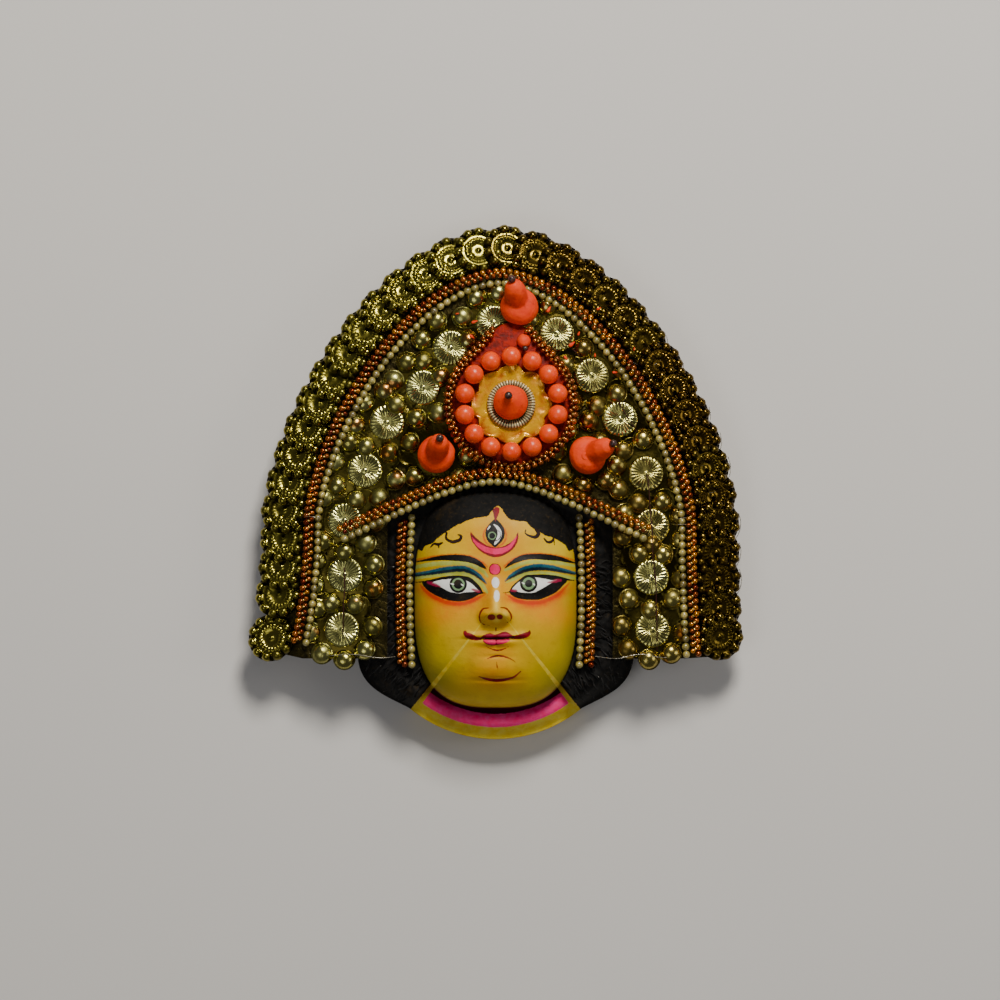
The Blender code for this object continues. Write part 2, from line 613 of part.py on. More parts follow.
def make_medallion():
    base = seat(MEDAL_X, MEDAL_Y, GAP) @ Matrix.Scale(MEDAL_FIT, 4)
    top = MEDAL_THICK + GAP
    add_object("medallion_board", prism(teardrop(0.4), 0, MEDAL_THICK), "red_card", base)

    star = []
    for i in range(2 * PLATE_POINTS):
        r = PLATE_IN_R if i % 2 else PLATE_OUT_R
        a = math.pi / 2 + math.pi * i / PLATE_POINTS
        star.append(Vector((r * math.cos(a), r * math.sin(a))))
    add_object("medallion_plate", prism(star, top, top + PLATE_THICK), "amber", base)

    floor = top + PLATE_THICK + GAP
    dish = lathe(((FLUTE_IN_R, floor), (FLUTE_OUT_R, floor),
                  (FLUTE_OUT_R, floor + 0.7 * FLUTE_HEIGHT),
                  (FLUTE_OUT_R - 1.4, floor + FLUTE_HEIGHT),
                  (FLUTE_IN_R, floor + 0.5)), FLUTES)
    add_object("fluted_ring", dish, "gold_foil", base)

    cone_floor = floor + 0.5 + GAP
    brim = FLUTE_HEIGHT + 0.6
    rings = [circle(FLUTE_IN_R - 0.4, cone_floor, 12), circle(FLUTE_IN_R - 0.4, cone_floor + FLUTE_HEIGHT, 12)]
    for width, height in ((1.0, brim), (0.9, 0.45 * CONE_HEIGHT), (0.6, 0.75 * CONE_HEIGHT),
                          (0.2, CONE_HEIGHT)):
        lean = (height - brim) / (CONE_HEIGHT - brim)
        shift = Vector((CONE_LEAN_X, CONE_LEAN_Y, 0)) * lean
        rings.append([p + shift for p in circle(width * CONE_R, cone_floor + height, 12)])
    add_object("medallion_cone", skin(rings), "orange_paint", base, flat=False)
    top_spot = (1.1 * CONE_LEAN_X, 1.1 * CONE_LEAN_Y, cone_floor + CONE_HEIGHT + GAP + TIP_R)
    add_tip("medallion_tip", base @ Vector(top_spot))

    for i in range(BEAD_COUNT):
        a = math.pi / 2 + 2 * math.pi * i / BEAD_COUNT
        spot = (BEAD_RING_R * math.cos(a), BEAD_RING_R * math.sin(a), top + BEAD_R)
        place = base @ Matrix.Translation(spot)
        add_object("orange_bead_%02d" % (i + 1), ball(BEAD_R, 8, 4), "orange_bead", place, flat=False)

    chain = []
    for i in range(CHAIN_KNOTS + 1):
        p = teardrop_point(blend(CHAIN_GAP, 360 - CHAIN_GAP, i / CHAIN_KNOTS), 0.0)
        chain.append(base @ Vector((p.x, p.y, top + COPPER_R)))
    string_of_beads("medallion_copper", chain, COPPER_R * MEDAL_FIT, "copper")

    bud_place = base @ Matrix.Translation((BUD_OUT, BUD_UP, top))
    bud_mesh = lathe(((BUD_R, 0), (0.9 * BUD_R, 0.6 * BUD_R),
                      (0.5 * BUD_R, BUD_R), (0, 1.15 * BUD_R)), 8)
    add_object("medallion_bud", bud_mesh, "orange_paint", bud_place, flat=False)
    add_tip("bud_tip", bud_place @ Vector((0.6, -4.1, BUD_R)), BUD_TIP_R)


def ball(radius, around, along):
    profile = []
    for i in range(along + 1):
        a = math.pi * i / along
        profile.append((radius * math.sin(a) if 0 < i < along else 0, -radius * math.cos(a)))
    return lathe(profile, around)


def add_tip(name, spot, radius=TIP_R):
    add_object(name, ball(radius, 6, 4), "dark_bead", Matrix.Translation(spot), flat=False)


# Finials

def make_finial(word, spec):
    x, y, lift, lean, bearing = spec
    base = seat(x, y, lift)
    dome = lathe(((FINIAL_R, 0), (FINIAL_R, 1.6), (0.93 * FINIAL_R, 0.55 * FINIAL_DOME),
                  (0.68 * FINIAL_R, 0.86 * FINIAL_DOME), (0, FINIAL_DOME)), 12)
    bulb = lathe(((0.9 * BULB_R, 0), (BULB_R, 0.55 * BULB_LENGTH), (0.92 * BULB_R, 0.72 * BULB_LENGTH),
                  (0.6 * BULB_R, 0.9 * BULB_LENGTH), (0.25 * BULB_R, BULB_LENGTH)), 8)
    turn = Matrix.Rotation(math.radians(bearing), 4, "Z") @ Matrix.Rotation(math.radians(lean), 4, "Y")
    bulb_place = base @ Matrix.Translation((0, 0, 1.0)) @ turn
    first = add_object("dome", dome, "orange_paint", base)
    second = add_object("bulb", bulb, "orange_paint", bulb_place)
    bpy.context.view_layer.update()
    combine("finial_" + word, first, [second], "UNION", "orange_paint")
    add_tip("finial_tip_" + word, bulb_place @ Vector((0, 0, BULB_LENGTH + GAP + TIP_R)))


for old in list(bpy.data.objects):
    bpy.data.objects.remove(old)
mask = bpy.data.objects.new("mask", None)
bpy.context.collection.objects.link(mask)
make_face_mask()
make_crown_board()
make_disc_band()
make_flower_panels()
make_arch_strings()
make_brow_strings()
make_side_strings()
make_medallion()
for finial_word, finial_spec in (("top", FINIAL_TOP), ("left", FINIAL_LEFT), ("right", FINIAL_RIGHT)):
    make_finial(finial_word, finial_spec)

bpy.context.view_layer.update()
evaluated = bpy.context.evaluated_depsgraph_get()
corners = []
for piece in mask.children:
    shape = piece.evaluated_get(evaluated)
    corners += [piece.matrix_world @ v.co for v in shape.to_mesh().vertices]
    shape.to_mesh_clear()
for axis in (0, 1):
    low, high = min(c[axis] for c in corners), max(c[axis] for c in corners)
    mask.location[axis] = -(low + high) / 2
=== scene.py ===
import math

import bpy
import numpy as np
from mathutils import Matrix, Vector


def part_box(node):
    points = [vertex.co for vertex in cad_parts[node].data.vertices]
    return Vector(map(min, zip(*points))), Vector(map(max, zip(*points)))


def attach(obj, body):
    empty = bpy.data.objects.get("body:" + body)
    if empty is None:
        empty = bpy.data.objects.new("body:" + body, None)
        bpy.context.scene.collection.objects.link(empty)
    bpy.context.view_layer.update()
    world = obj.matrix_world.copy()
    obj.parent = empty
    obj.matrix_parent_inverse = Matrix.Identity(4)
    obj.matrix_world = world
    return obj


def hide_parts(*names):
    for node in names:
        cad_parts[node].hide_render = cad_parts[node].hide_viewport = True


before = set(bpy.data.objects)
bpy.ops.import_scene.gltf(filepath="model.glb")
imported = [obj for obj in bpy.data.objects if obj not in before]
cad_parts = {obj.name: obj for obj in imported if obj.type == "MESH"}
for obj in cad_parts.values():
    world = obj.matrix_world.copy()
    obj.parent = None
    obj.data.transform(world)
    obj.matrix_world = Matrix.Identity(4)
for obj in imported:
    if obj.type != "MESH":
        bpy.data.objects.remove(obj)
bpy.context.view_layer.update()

# The mask lies on its back on a plain pale table, and the camera looks straight down on it from
# far off. A soft lamp stands beyond the crown, a little to the right, so shadows fall towards
# the chin, and two weak lamps and a dim room fill them.
MM = 0.001
VIEW_X, VIEW_Y = 2.1, -8.5
CAMERA_HEIGHT = 5.03
bpy.ops.object.camera_add(location=(VIEW_X * MM, VIEW_Y * MM, CAMERA_HEIGHT), rotation=(0, 0, 0))
camera = bpy.context.object
camera.data.sensor_width = 36
camera.data.lens = 360
camera.data.clip_end = 50
bpy.context.scene.camera = camera


def node(tree, kind, inputs=None, **settings):
    """Adds a shader node with its settings; an input is a plain value or another node's socket."""
    made = tree.nodes.new(kind if kind.startswith("Node") else "ShaderNode" + kind)
    for key, value in settings.items():
        setattr(made, key, value)
    for key, value in (inputs or {}).items():
        if isinstance(value, bpy.types.NodeSocket):
            tree.links.new(value, made.inputs[key])
        else:
            made.inputs[key].default_value = value
    return made


def mixed(tree, share, first, second):
    """The colour that lies a share of the way from the first to the second."""
    made = node(tree, "Mix", {0: share, 6: first, 7: second}, data_type="RGBA")
    return made.outputs[2]


def new_material(name, **values):
    """A Principled material; its plain values are given by their socket names with underscores."""
    made = bpy.data.materials.new(name)
    made.use_nodes = True
    shader = made.node_tree.nodes["Principled BSDF"]
    for key, value in values.items():
        shader.inputs[key.replace("_", " ")].default_value = value
    return made, made.node_tree, shader


def feed(shader, **sockets):
    """Links values to a shader's inputs, which are named with underscores."""
    for key, socket in sockets.items():
        shader.id_data.links.new(socket, shader.inputs[key.replace("_", " ")])


def select_only(*pieces):
    """Selects these pieces and nothing else; the first is the active one."""
    bpy.ops.object.select_all(action="DESELECT")
    for piece in pieces:
        piece.select_set(True)
    if pieces:
        bpy.context.view_layer.objects.active = pieces[0]


select_only()
bpy.ops.mesh.primitive_plane_add(size=6)
table = bpy.context.object
table.name = "table"
table_paint, tree, shader = new_material("table_paint", Roughness=0.85)
place = node(tree, "TexCoord").outputs["Object"]
grain = node(tree, "TexNoise", {"Vector": place, "Scale": 3.0, "Detail": 4.0}).outputs["Fac"]
feed(shader, Base_Color=mixed(tree, grain, (0.66, 0.64, 0.61, 1), (0.71, 0.69, 0.655, 1)))
table.data.materials.append(table_paint)

for name, spot, size, power, colour in (
        ("key_lamp", (0.30, 1.25, 1.35), 0.5, 40.0, (1.0, 0.955, 0.88)),
        ("side_lamp", (1.6, 0.1, 1.0), 0.6, 4.0, (1.0, 0.97, 0.92)),
        ("fill_lamp", (-0.9, -0.7, 2.2), 1.2, 8.0, (0.98, 0.98, 1.0))):
    bpy.ops.object.light_add(type="AREA", location=spot)
    lamp = bpy.context.object
    lamp.name = name
    lamp.rotation_euler = Vector(spot).to_track_quat("Z", "Y").to_euler()
    lamp.data.size = size
    lamp.data.energy = power
    lamp.data.color = colour
room = bpy.data.worlds.new("room")
room.use_nodes = True
backdrop = room.node_tree.nodes["Background"]
backdrop.inputs["Color"].default_value = (0.90, 0.92, 1.0, 1)
backdrop.inputs["Strength"].default_value = 0.09
bpy.context.scene.world = room

# The head is one shell of papier-mache, 3 mm thick, formed in a mould, primed with clay and
# painted by hand: yellow face, black hair, pink collar. Its places are measured in millimetres
# from the tip of the nose, and heights from the flat back rim.
low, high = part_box("face_mask")
HEAD_X = (low.x + high.x) / 2 / MM
NECK_RADIUS, NECK_SPREAD = 67.7, 39.0
HEAD_Y = low.y / MM + NECK_RADIUS
WALL = 3.0
NOSE_PLACE = (0.3, -61.0)           # of the nose on the mask's own plan, whose middle line is x = 0
FACE_HALF_WIDTH, FACE_UP, FACE_DOWN = 40.8, 59.0, 52.0
FACE_CROWN_Z, FACE_SIDE_Z, CHIN_DROP = 50.0, 28.0, 7.0
HEAD_HALF_WIDTH, HEAD_UP, HAIR_LOBE, HAIR_EDGE_Z = 66.0, 100.0, 9.5, 13.0
NECK_ROOT_Z, NECK_SWELL_Z, NECK_EDGE_Z = 17.0, 21.0, 15.0
SPOKES = 500


def to_table(points):
    """Plan millimetres to metres on the table."""
    moved = np.array(points, float)
    moved[..., 0] += HEAD_X - NOSE_PLACE[0]
    moved[..., 1] += HEAD_Y - NOSE_PLACE[1]
    return moved * MM


def smooth(low, high, value):
    """Rises softly from 0 at low to 1 at high; low may be the larger."""
    t = np.clip((value - low) / (high - low), 0, 1)
    return t * t * (3 - 2 * t)


def bump(x, y, across, along):
    return np.exp(-(x / across) ** 2 - (y / along) ** 2)


def blend(a, b, t):
    return a + (b - a) * t


def lumps(x, y, size, seed):
    """Soft random lumps from -1 to 1, about size apart."""
    table = np.random.default_rng(seed).uniform(-1, 1, (64, 64))
    gx, gy = np.asarray(x) / size + 32.5, np.asarray(y) / size + 32.5
    ix, iy = np.floor(gx).astype(int), np.floor(gy).astype(int)
    fx, fy = smooth(0, 1, gx - ix), smooth(0, 1, gy - iy)
    row0 = blend(table[ix % 64, iy % 64], table[(ix + 1) % 64, iy % 64], fx)
    row1 = blend(table[ix % 64, (iy + 1) % 64], table[(ix + 1) % 64, (iy + 1) % 64], fx)
    return blend(row0, row1, fy)


def in_edit_mode(operator, **settings):
    """Runs one of the mesh operators on the whole of the active piece."""
    bpy.ops.object.mode_set(mode="EDIT")
    bpy.ops.mesh.select_all(action="SELECT")
    operator(**settings)
    bpy.ops.object.mode_set(mode="OBJECT")


def rolled(name, rings, values=None):
    """A round form: a grid laid along rings of points, rolled up, with its seam and poles merged.
    The rings run clockwise and from the top's middle outwards, so that faces point out."""
    count, spokes = rings.shape[:2]
    select_only()
    bpy.ops.mesh.primitive_grid_add(x_subdivisions=spokes, y_subdivisions=count - 1, size=2)
    piece = bpy.context.object
    piece.name = name
    closed = np.concatenate((rings, rings[:, :1]), axis=1)
    piece.data.vertices.foreach_set("co", (closed * MM).ravel())
    for key, value in (values or {}).items():
        value = np.broadcast_to(value, rings.shape[:2])
        value = np.concatenate((value, value[:, :1]), axis=1).ravel().astype(np.float32)
        piece.data.attributes.new(key, "FLOAT", "POINT").data.foreach_set("value", value)
    in_edit_mode(bpy.ops.mesh.remove_doubles, threshold=0.000001)
    bpy.ops.object.shade_smooth()
    return piece


def settle(piece):
    """Moves a piece from the mask's plan to its place on the table, and leaves its object at the origin."""
    select_only(piece)
    piece.matrix_world = Matrix.Translation(Vector(to_table((0.0, 0.0, 0.0)))) @ piece.matrix_world
    bpy.ops.object.transform_apply(location=True, rotation=True, scale=True)


def face_radius(angle, inset=0.0):
    c, s = -np.cos(angle), np.sin(angle)
    reach = np.where(c > 0, FACE_UP, FACE_DOWN) - inset
    power = np.where(c > 0, 2.9, 2.8)
    return (np.abs(s / (FACE_HALF_WIDTH - inset)) ** power + np.abs(c / reach) ** power) ** (-1 / power)


def outline_radius(angle):
    """Neck, hair lobes and the back of the head; the angle runs from straight down."""
    turn = np.abs(np.degrees(angle))
    lobes = HEAD_HALF_WIDTH + HAIR_LOBE * np.exp(-((turn - 62) / 17) ** 2)
    back = 1 / np.hypot(np.sin(angle) / HEAD_HALF_WIDTH, np.cos(angle) / HEAD_UP)
    return np.where(turn <= NECK_SPREAD, NECK_RADIUS, np.where(turn < 90, lobes, back))


ARCH_X, ARCH_HALF_WIDTH, ARCH_SPRING_Y, ARCH_RISE = 2.5, 91.0, -20.0, 120.0
ARCH_ROUND, ARCH_POINT = 1.724, 1.5
ARCH_Z, BOARD_BULGE, BOARD_THICK = 26.0, 7.0, 2.4
BROW_Y, BROW_FALL, BROW_BEND = 0.3, 0.52, 24.0
GAP = 0.3


def board_top(x, y):
    """Height of the crown board's face, which bulges forward at the brow."""
    up = np.maximum(0, (y - ARCH_SPRING_Y) / ARCH_RISE)
    level = np.abs((x - ARCH_X) / ARCH_HALF_WIDTH) ** ARCH_ROUND + up ** ARCH_POINT
    return ARCH_Z + BOARD_BULGE * (1 - np.minimum(1.2, level) ** 1.2)


def brow_line(x):
    return BROW_Y - BROW_FALL * (np.hypot(x, BROW_BEND) - BROW_BEND)


# How far each form of the face swells or sinks, whether it is on both sides, its place across and
# up from the nose's tip, and how far it spreads across and along.
FACE_FORMS = {
    "nose wing": (3.2, True, 5.4, -5.0, 2.8, 3.2), "nostril": (-1.6, True, 2.1, -6.4, 1.3, 1.2),
    "brow": (1.2, True, 18.5, 20.0, 15.0, 3.4), "eye socket": (-2.4, True, 18.5, 11.1, 12.0, 7.0),
    "eye lid": (2.4, True, 20.5, 9.6, 11.0, 4.4), "lower lip": (2.2, False, 0.0, -18.6, 8.0, 1.7),
    "upper lip": (2.0, True, 3.5, -15.2, 8.5, 1.4), "mouth": (-1.1, False, 0.0, -17.0, 11.0, 0.6),
    "mouth corner": (0.8, True, 13.5, -15.0, 2.5, 1.8), "cheek": (1.5, True, 22.0, -10.0, 11.0, 11.0),
    "chin": (2.6, False, 0.0, -33.0, 11.0, 7.0), "chin groove": (-0.5, False, 0.0, -25.7, 7.0, 1.0),
    "under chin": (-1.2, False, 0.0, -37.5, 9.0, 1.0)}


def relief(x, y):
    """Nose, lids, lips and chin over the face's dome."""
    side = np.abs(x)
    length = smooth(17.0, -3.0, y) ** 1.3 * (1 - smooth(-3.5, -11.5, y))
    width = blend(3.2, 5.4, smooth(11.0, -3.0, y))
    z = 9.3 * length * np.exp(-(side / width) ** 2.2)
    for form, (rise, paired, form_x, form_y, across, along) in FACE_FORMS.items():
        swell = rise * bump((side if paired else x) - form_x, y - form_y, across, along)
        if form == "lower lip":
            swell *= 1 - 0.35 * bump(x, 0, 1.2, 1)
        z += swell
    return z


def dome_height(angle, share):
    edge = FACE_SIDE_Z - CHIN_DROP * np.exp(-(np.degrees(angle) / 35) ** 2)
    return edge + (FACE_CROWN_Z - edge) * np.maximum(0, 1 - share ** 2.6) ** 0.55


def surround_height(angle, share, x, y):
    under_board = board_top(x, y) - BOARD_THICK - GAP
    tucked = smooth(3, 12, y - brow_line(x))
    shelf = np.minimum(blend(FACE_SIDE_Z, under_board, tucked), under_board)
    hair = blend(shelf, HAIR_EDGE_Z, smooth(0.5, 1.0, share) ** 1.4)
    neck = blend(NECK_ROOT_Z, NECK_SWELL_Z, smooth(0, 0.35, share))
    neck = blend(neck, NECK_EDGE_Z, smooth(0.45, 1.0, share))
    return blend(neck, hair, smooth(NECK_SPREAD - 0.7, NECK_SPREAD + 0.7, np.abs(np.degrees(angle))))


angle = -np.linspace(-math.pi, math.pi, SPOKES, endpoint=False)
across, down = np.sin(angle), -np.cos(angle)


def shell_ring(radius, height):
    """One ring round the nose; height is a function of the ring's x and y."""
    x, y = radius * across, radius * down
    return np.stack((x, y, np.broadcast_to(height(x, y), x.shape)), axis=1)


rings, front = [], []
for t in np.linspace(0, 1, 116):
    share = 1 - (1 - t) ** 1.5
    rings.append(shell_ring(share * face_radius(angle),
                            lambda x, y: dome_height(angle, share) + relief(x, y)))
    front.append(1.0)
clumps = smooth(NECK_SPREAD + 1, NECK_SPREAD + 5, np.abs(np.degrees(angle)))
for share in np.linspace(0, 1, 32):
    fade = clumps * smooth(0.0, 0.15, share) * smooth(1.0, 0.9, share)

    def hair_or_neck(x, y):
        tangle = 0.9 * lumps(x, y, 4.2, 3) + 0.5 * lumps(x, y, 1.7, 4)
        covered = smooth(-2, -8, y + NOSE_PLACE[1] - brow_line(x + NOSE_PLACE[0]))
        return (surround_height(angle, share, x + NOSE_PLACE[0], y + NOSE_PLACE[1])
                + (tangle - 0.4) * fade * covered)

    rings.append(shell_ring(blend(face_radius(angle), outline_radius(angle), share), hair_or_neck))
    front.append(1.0)
edge_z = rings[-1][:, 2]
for share, inward in ((0.9, 0.0), (0.5, 0.0), (0.06, 0.0), (0.0, 0.4), (0.0, WALL)):
    rings.append(shell_ring(outline_radius(angle) - inward, lambda x, y: edge_z * share))
    front.append(0.5 if inward < WALL else 0.0)
for share in (0.97, 0.8, 0.6, 0.4, 0.2, 0.0):
    radius = blend(face_radius(angle, WALL), outline_radius(angle) - WALL, share)
    rings.append(shell_ring(radius, lambda x, y: surround_height(
        angle, share, x + NOSE_PLACE[0], y + NOSE_PLACE[1]) - WALL))
    front.append(0.0)
for share in (0.97, 0.92, 0.84, 0.72, 0.55, 0.35, 0.15, 0.0):
    rings.append(shell_ring(share * face_radius(angle, WALL),
                            lambda x, y: dome_height(angle, share) - WALL))
    front.append(0.0)
rings = np.array(rings)
front = np.array(front)[:, None]
px, py = rings[..., 0].ravel(), rings[..., 1].ravel()


def through(points, steps=5):
    """A smooth line through a brush stroke's given points."""
    p = np.array(points, float)
    p = np.vstack((2 * p[0] - p[1], p, 2 * p[-1] - p[-2]))
    line = []
    for a, b, c, d in zip(p, p[1:], p[2:], p[3:]):
        for t in np.arange(steps) / steps:
            line.append(0.5 * (2 * b + (c - a) * t + (2 * a - 5 * b + 4 * c - d) * t * t
                               + (3 * b - a - 3 * c + d) * t ** 3))
    line.append(p[-2])
    return np.array(line)


FAR = -6.0


def near(points, reach=4.0):
    """The shell's points round a mark, so that only those are worked out."""
    low, high = points[:, :2].min(0) - reach, points[:, :2].max(0) + reach
    return np.flatnonzero((px > low[0]) & (px < high[0]) & (py > low[1]) & (py < high[1]))


def stroke(*points):
    """Distance into a brush stroke, negative outside; its points are x, y and half width."""
    line = through(points)
    chosen = near(line)
    x, y = px[chosen], py[chosen]
    best = np.full(len(chosen), FAR)
    for a, b in zip(line, line[1:]):
        step = b - a
        dx, dy = x - a[0], y - a[1]
        t = np.clip((dx * step[0] + dy * step[1]) / max(step[0] ** 2 + step[1] ** 2, 1e-9), 0, 1)
        best = np.maximum(best, a[2] + step[2] * t - np.hypot(dx - t * step[0], dy - t * step[1]))
    field = np.full(len(px), FAR)
    field[chosen] = best
    return field


def patch(*points):
    """Distance into a filled shape with a smooth outline."""
    ring = np.array(points, float)
    count = len(ring)
    ring = through(np.vstack((ring[-2:], ring, ring[:3])))[10:10 + 5 * count]
    chosen = near(ring)
    x, y = px[chosen], py[chosen]
    inside = np.zeros(len(chosen), bool)
    best = np.full(len(chosen), -FAR)
    for a, b in zip(ring, np.roll(ring, -1, axis=0)):
        step = b - a
        dx, dy = x - a[0], y - a[1]
        t = np.clip((dx * step[0] + dy * step[1]) / max(step @ step, 1e-9), 0, 1)
        best = np.minimum(best, np.hypot(dx - t * step[0], dy - t * step[1]))
        crossing = (a[1] > y) != (b[1] > y)
        inside ^= crossing & (x < a[0] + dy * step[0] / (step[1] if step[1] else 1e-9))
    field = np.full(len(px), FAR)
    field[chosen] = np.where(inside, best, -best)
    return field


def oval(x, y, across, along):
    return np.maximum(FAR, (1 - np.hypot((px - x) / across, (py - y) / along)) * min(across, along))


def layer(*marks):
    return np.maximum.reduce(marks)


def spot(x, y, across, along, turn=0.0):
    """A soft spot of paint from 0 to 1; such spots also lay the painted highlights and painted shade."""
    c, s = math.cos(math.radians(turn)), math.sin(math.radians(turn))
    u, v = (px - x) * c + (py - y) * s, (py - y) * c - (px - x) * s
    return np.exp(-(u / across) ** 2 - (v / along) ** 2)


def ring(x, y, radius, half_width):
    return np.maximum(FAR, half_width - np.abs(np.hypot(px - x, py - y) - radius))


hairline = layer(
    patch((-38.0, 27.2), (-35.3, 29.3), (-31.3, 30.8), (-28.6, 33.5), (-24.1, 36.6), (-20.6, 38.9),
          (-16.1, 41.1), (-11.2, 43.1), (-6.7, 43.8), (-4.0, 44.2), (-2.3, 46.4), (0.4, 49.1),
          (2.6, 48.5), (4.4, 45.6), (7.1, 42.7), (11.6, 41.8), (15.1, 41.5), (17.4, 39.3), (20.1, 37.1),
          (22.3, 36.2), (25.4, 34.4), (29.4, 33.1), (34.7, 29.9), (37.9, 27.2), (49.5, 38.9),
          (40.6, 65.6), (0.4, 71.0), (-39.8, 65.6), (-48.7, 38.9)))
pale_lids = layer(
    stroke((-40.2, 18.6, 1.05), (-34.8, 19.8, 1.05), (-25.8, 20.8, 1.05), (-16.8, 20.8, 1.05),
           (-10.8, 19.3, 1.05), (-6.3, 16.8, 0.9), (-3.9, 14.1, 0.5)),
    stroke((-40.2, 13.2, 0.8), (-31.8, 14.7, 1), (-25.8, 15.4, 1.1), (-18.3, 15.7, 1.1),
           (-13.8, 15.0, 1.1), (-9.9, 12.6, 1.1), (-6.3, 9.3, 1), (-4.2, 6.3, 0.6)),
    stroke((4.8, 17.4, 0.6), (10.2, 19.5, 0.8), (16.2, 21.3, 0.9), (22.2, 21.7, 0.9), (28.2, 21.4, 0.9),
           (34.2, 20.5, 0.8), (39.6, 19.3, 0.6)),
    stroke((5.1, 11.1, 0.3), (9.6, 13.2, 0.9), (14.7, 15.4, 0.9), (20.7, 16.0, 0.8), (26.7, 15.7, 0.8),
           (32.7, 14.4, 0.9), (39.6, 13.2, 0.8)))
teal_lids = layer(
    stroke((-39.9, 15.0, 0.9), (-31.8, 16.3, 1.2), (-25.8, 17.4, 1.5), (-19.8, 18.1, 1.5),
           (-15.3, 18.0, 1.5), (-11.4, 16.5, 1.3), (-7.8, 14.1, 1), (-4.5, 10.8, 0.3)),
    stroke((4.6, 12.0, 0.2), (7.2, 14.1, 0.8), (10.8, 16.2, 1.3), (15.0, 18.0, 1.5), (20.7, 18.9, 1.6),
           (26.7, 18.6, 1.5), (32.7, 17.4, 1.2), (39.6, 15.7, 0.7)))
navy_lids = layer(
    stroke((-39.9, 14.4, 0.5), (-31.8, 15.6, 0.7), (-25.8, 16.5, 0.8), (-19.8, 17.2, 0.8),
           (-15.3, 17.1, 0.8), (-11.4, 15.7, 0.75), (-8.0, 13.3, 0.55), (-4.8, 10.5, 0.2)),
    stroke((4.9, 11.7, 0.1), (7.5, 13.5, 0.5), (11.1, 15.4, 0.7), (15.1, 17.1, 0.8), (20.7, 18.0, 0.85),
           (26.7, 17.7, 0.8), (32.7, 16.7, 0.7), (39.6, 15.2, 0.4)))
black_lines = layer(
    stroke((-40.2, 21.3, 0.3), (-34.8, 22.3, 0.6), (-27.3, 23.4, 1.2), (-19.8, 23.5, 1.6),
           (-13.8, 22.9, 1.6), (-9.3, 21.3, 1.4), (-6.3, 19.3, 0.9), (-4.4, 17.8, 0.15)),
    stroke((4.6, 18.3, 0.15), (8.1, 21.0, 0.9), (13.2, 23.4, 1.4), (19.2, 24.1, 1.35), (25.2, 23.8, 1.5),
           (31.2, 23.1, 1.2), (35.7, 21.9, 0.8), (39.9, 20.8, 0.3)),
    stroke((-40.2, 11.1, 0.25), (-34.8, 11.7, 0.4), (-30.3, 12.6, 0.5), (-25.8, 13.5, 0.6),
           (-19.8, 14.1, 0.6), (-13.8, 13.5, 0.6), (-10.8, 11.7, 0.5), (-8.4, 9.3, 0.5), (-6.6, 6.3, 0.4),
           (-4.8, 6.0, 0.1)),
    stroke((3.3, 6.0, 0.1), (6.9, 6.6, 0.3), (8.4, 8.7, 0.5), (11.1, 11.4, 0.5), (15.0, 13.8, 0.7),
           (19.2, 14.4, 0.7), (25.2, 14.4, 0.8), (31.2, 13.5, 0.9), (35.7, 12.6, 0.5), (39.6, 12.0, 0.2)),
    patch((-36.6, 10.8), (-34.8, 8.1), (-31.8, 5.8), (-28.2, 4.0), (-24.3, 2.5), (-19.8, 1.8),
          (-15.3, 2.1), (-11.4, 3.4), (-8.4, 5.1), (-5.1, 6.0), (-6.8, 6.6), (-8.1, 9.0), (-10.5, 11.5),
          (-13.8, 13.4), (-19.8, 14.1), (-25.8, 13.5), (-30.3, 12.6), (-34.2, 11.7)),
    patch((6.9, 6.3), (9.6, 3.9), (13.8, 2.8), (18.6, 2.5), (22.2, 2.8), (26.7, 4.5), (30.6, 6.6),
          (33.6, 9.6), (35.7, 12.0), (32.7, 13.2), (25.2, 14.1), (19.2, 14.4), (15.0, 13.8), (11.1, 11.4),
          (8.4, 8.7)),
    patch((-0.2, 42.9), (1.8, 41.5), (3.5, 39.5), (4.5, 37.1), (4.5, 34.2), (3.2, 31.7), (1.3, 29.9),
          (-0.2, 28.7), (-1.9, 29.9), (-3.8, 31.7), (-4.9, 34.2), (-4.9, 37.1), (-3.7, 39.5),
          (-2.0, 41.5)))
eye_whites = layer(
    patch((-31.8, 10.9), (-28.2, 12.3), (-22.8, 12.9), (-18.3, 13.5), (-14.4, 12.0), (-11.4, 10.2),
          (-9.0, 7.8), (-8.1, 6.9), (-10.8, 6.6), (-15.3, 6.3), (-18.3, 5.8), (-22.8, 6.6), (-25.8, 8.1),
          (-28.8, 9.7)),
    patch((8.4, 7.8), (10.2, 10.2), (12.3, 11.7), (16.2, 13.8), (20.7, 13.6), (25.2, 12.9), (28.2, 12.3),
          (30.9, 12.6), (27.6, 10.8), (24.6, 9.0), (21.6, 7.3), (18.6, 6.1), (15.0, 6.1), (11.4, 6.6)),
    stroke((-0.9, 40.2, 0.25), (1.1, 38.4, 0.7), (2.1, 35.7, 0.95), (1.4, 33.1, 0.9), (-0.3, 30.4, 0.45)),
    stroke((-4.0, 37.5, 0.2), (-2.8, 39.2, 0.35)),
    oval(0, 11.2, 1.9, 2.7),
    oval(0.6, 4.6, 1.4, 2.9))
iris_black = layer(
    oval(-18.6, 10.3, 4.35, 4.35),
    oval(16.5, 10.7, 4.35, 4.35))
iris_green = layer(
    ring(-18.6, 10.3, 2.75, 0.45),
    ring(16.5, 10.7, 2.5, 0.6),
    ring(-1.7, 34.5, 1.75, 0.3))
glints = layer(
    stroke((-22.2, 10.6, 0.3), (-20.9, 10.3, 0.3)),
    stroke((-17.0, 10.3, 0.3), (-16.1, 9.7, 0.3)),
    stroke((13.3, 11.1, 0.3), (14.2, 10.6, 0.3)),
    stroke((18.9, 10.5, 0.25), (19.5, 10.0, 0.25)))
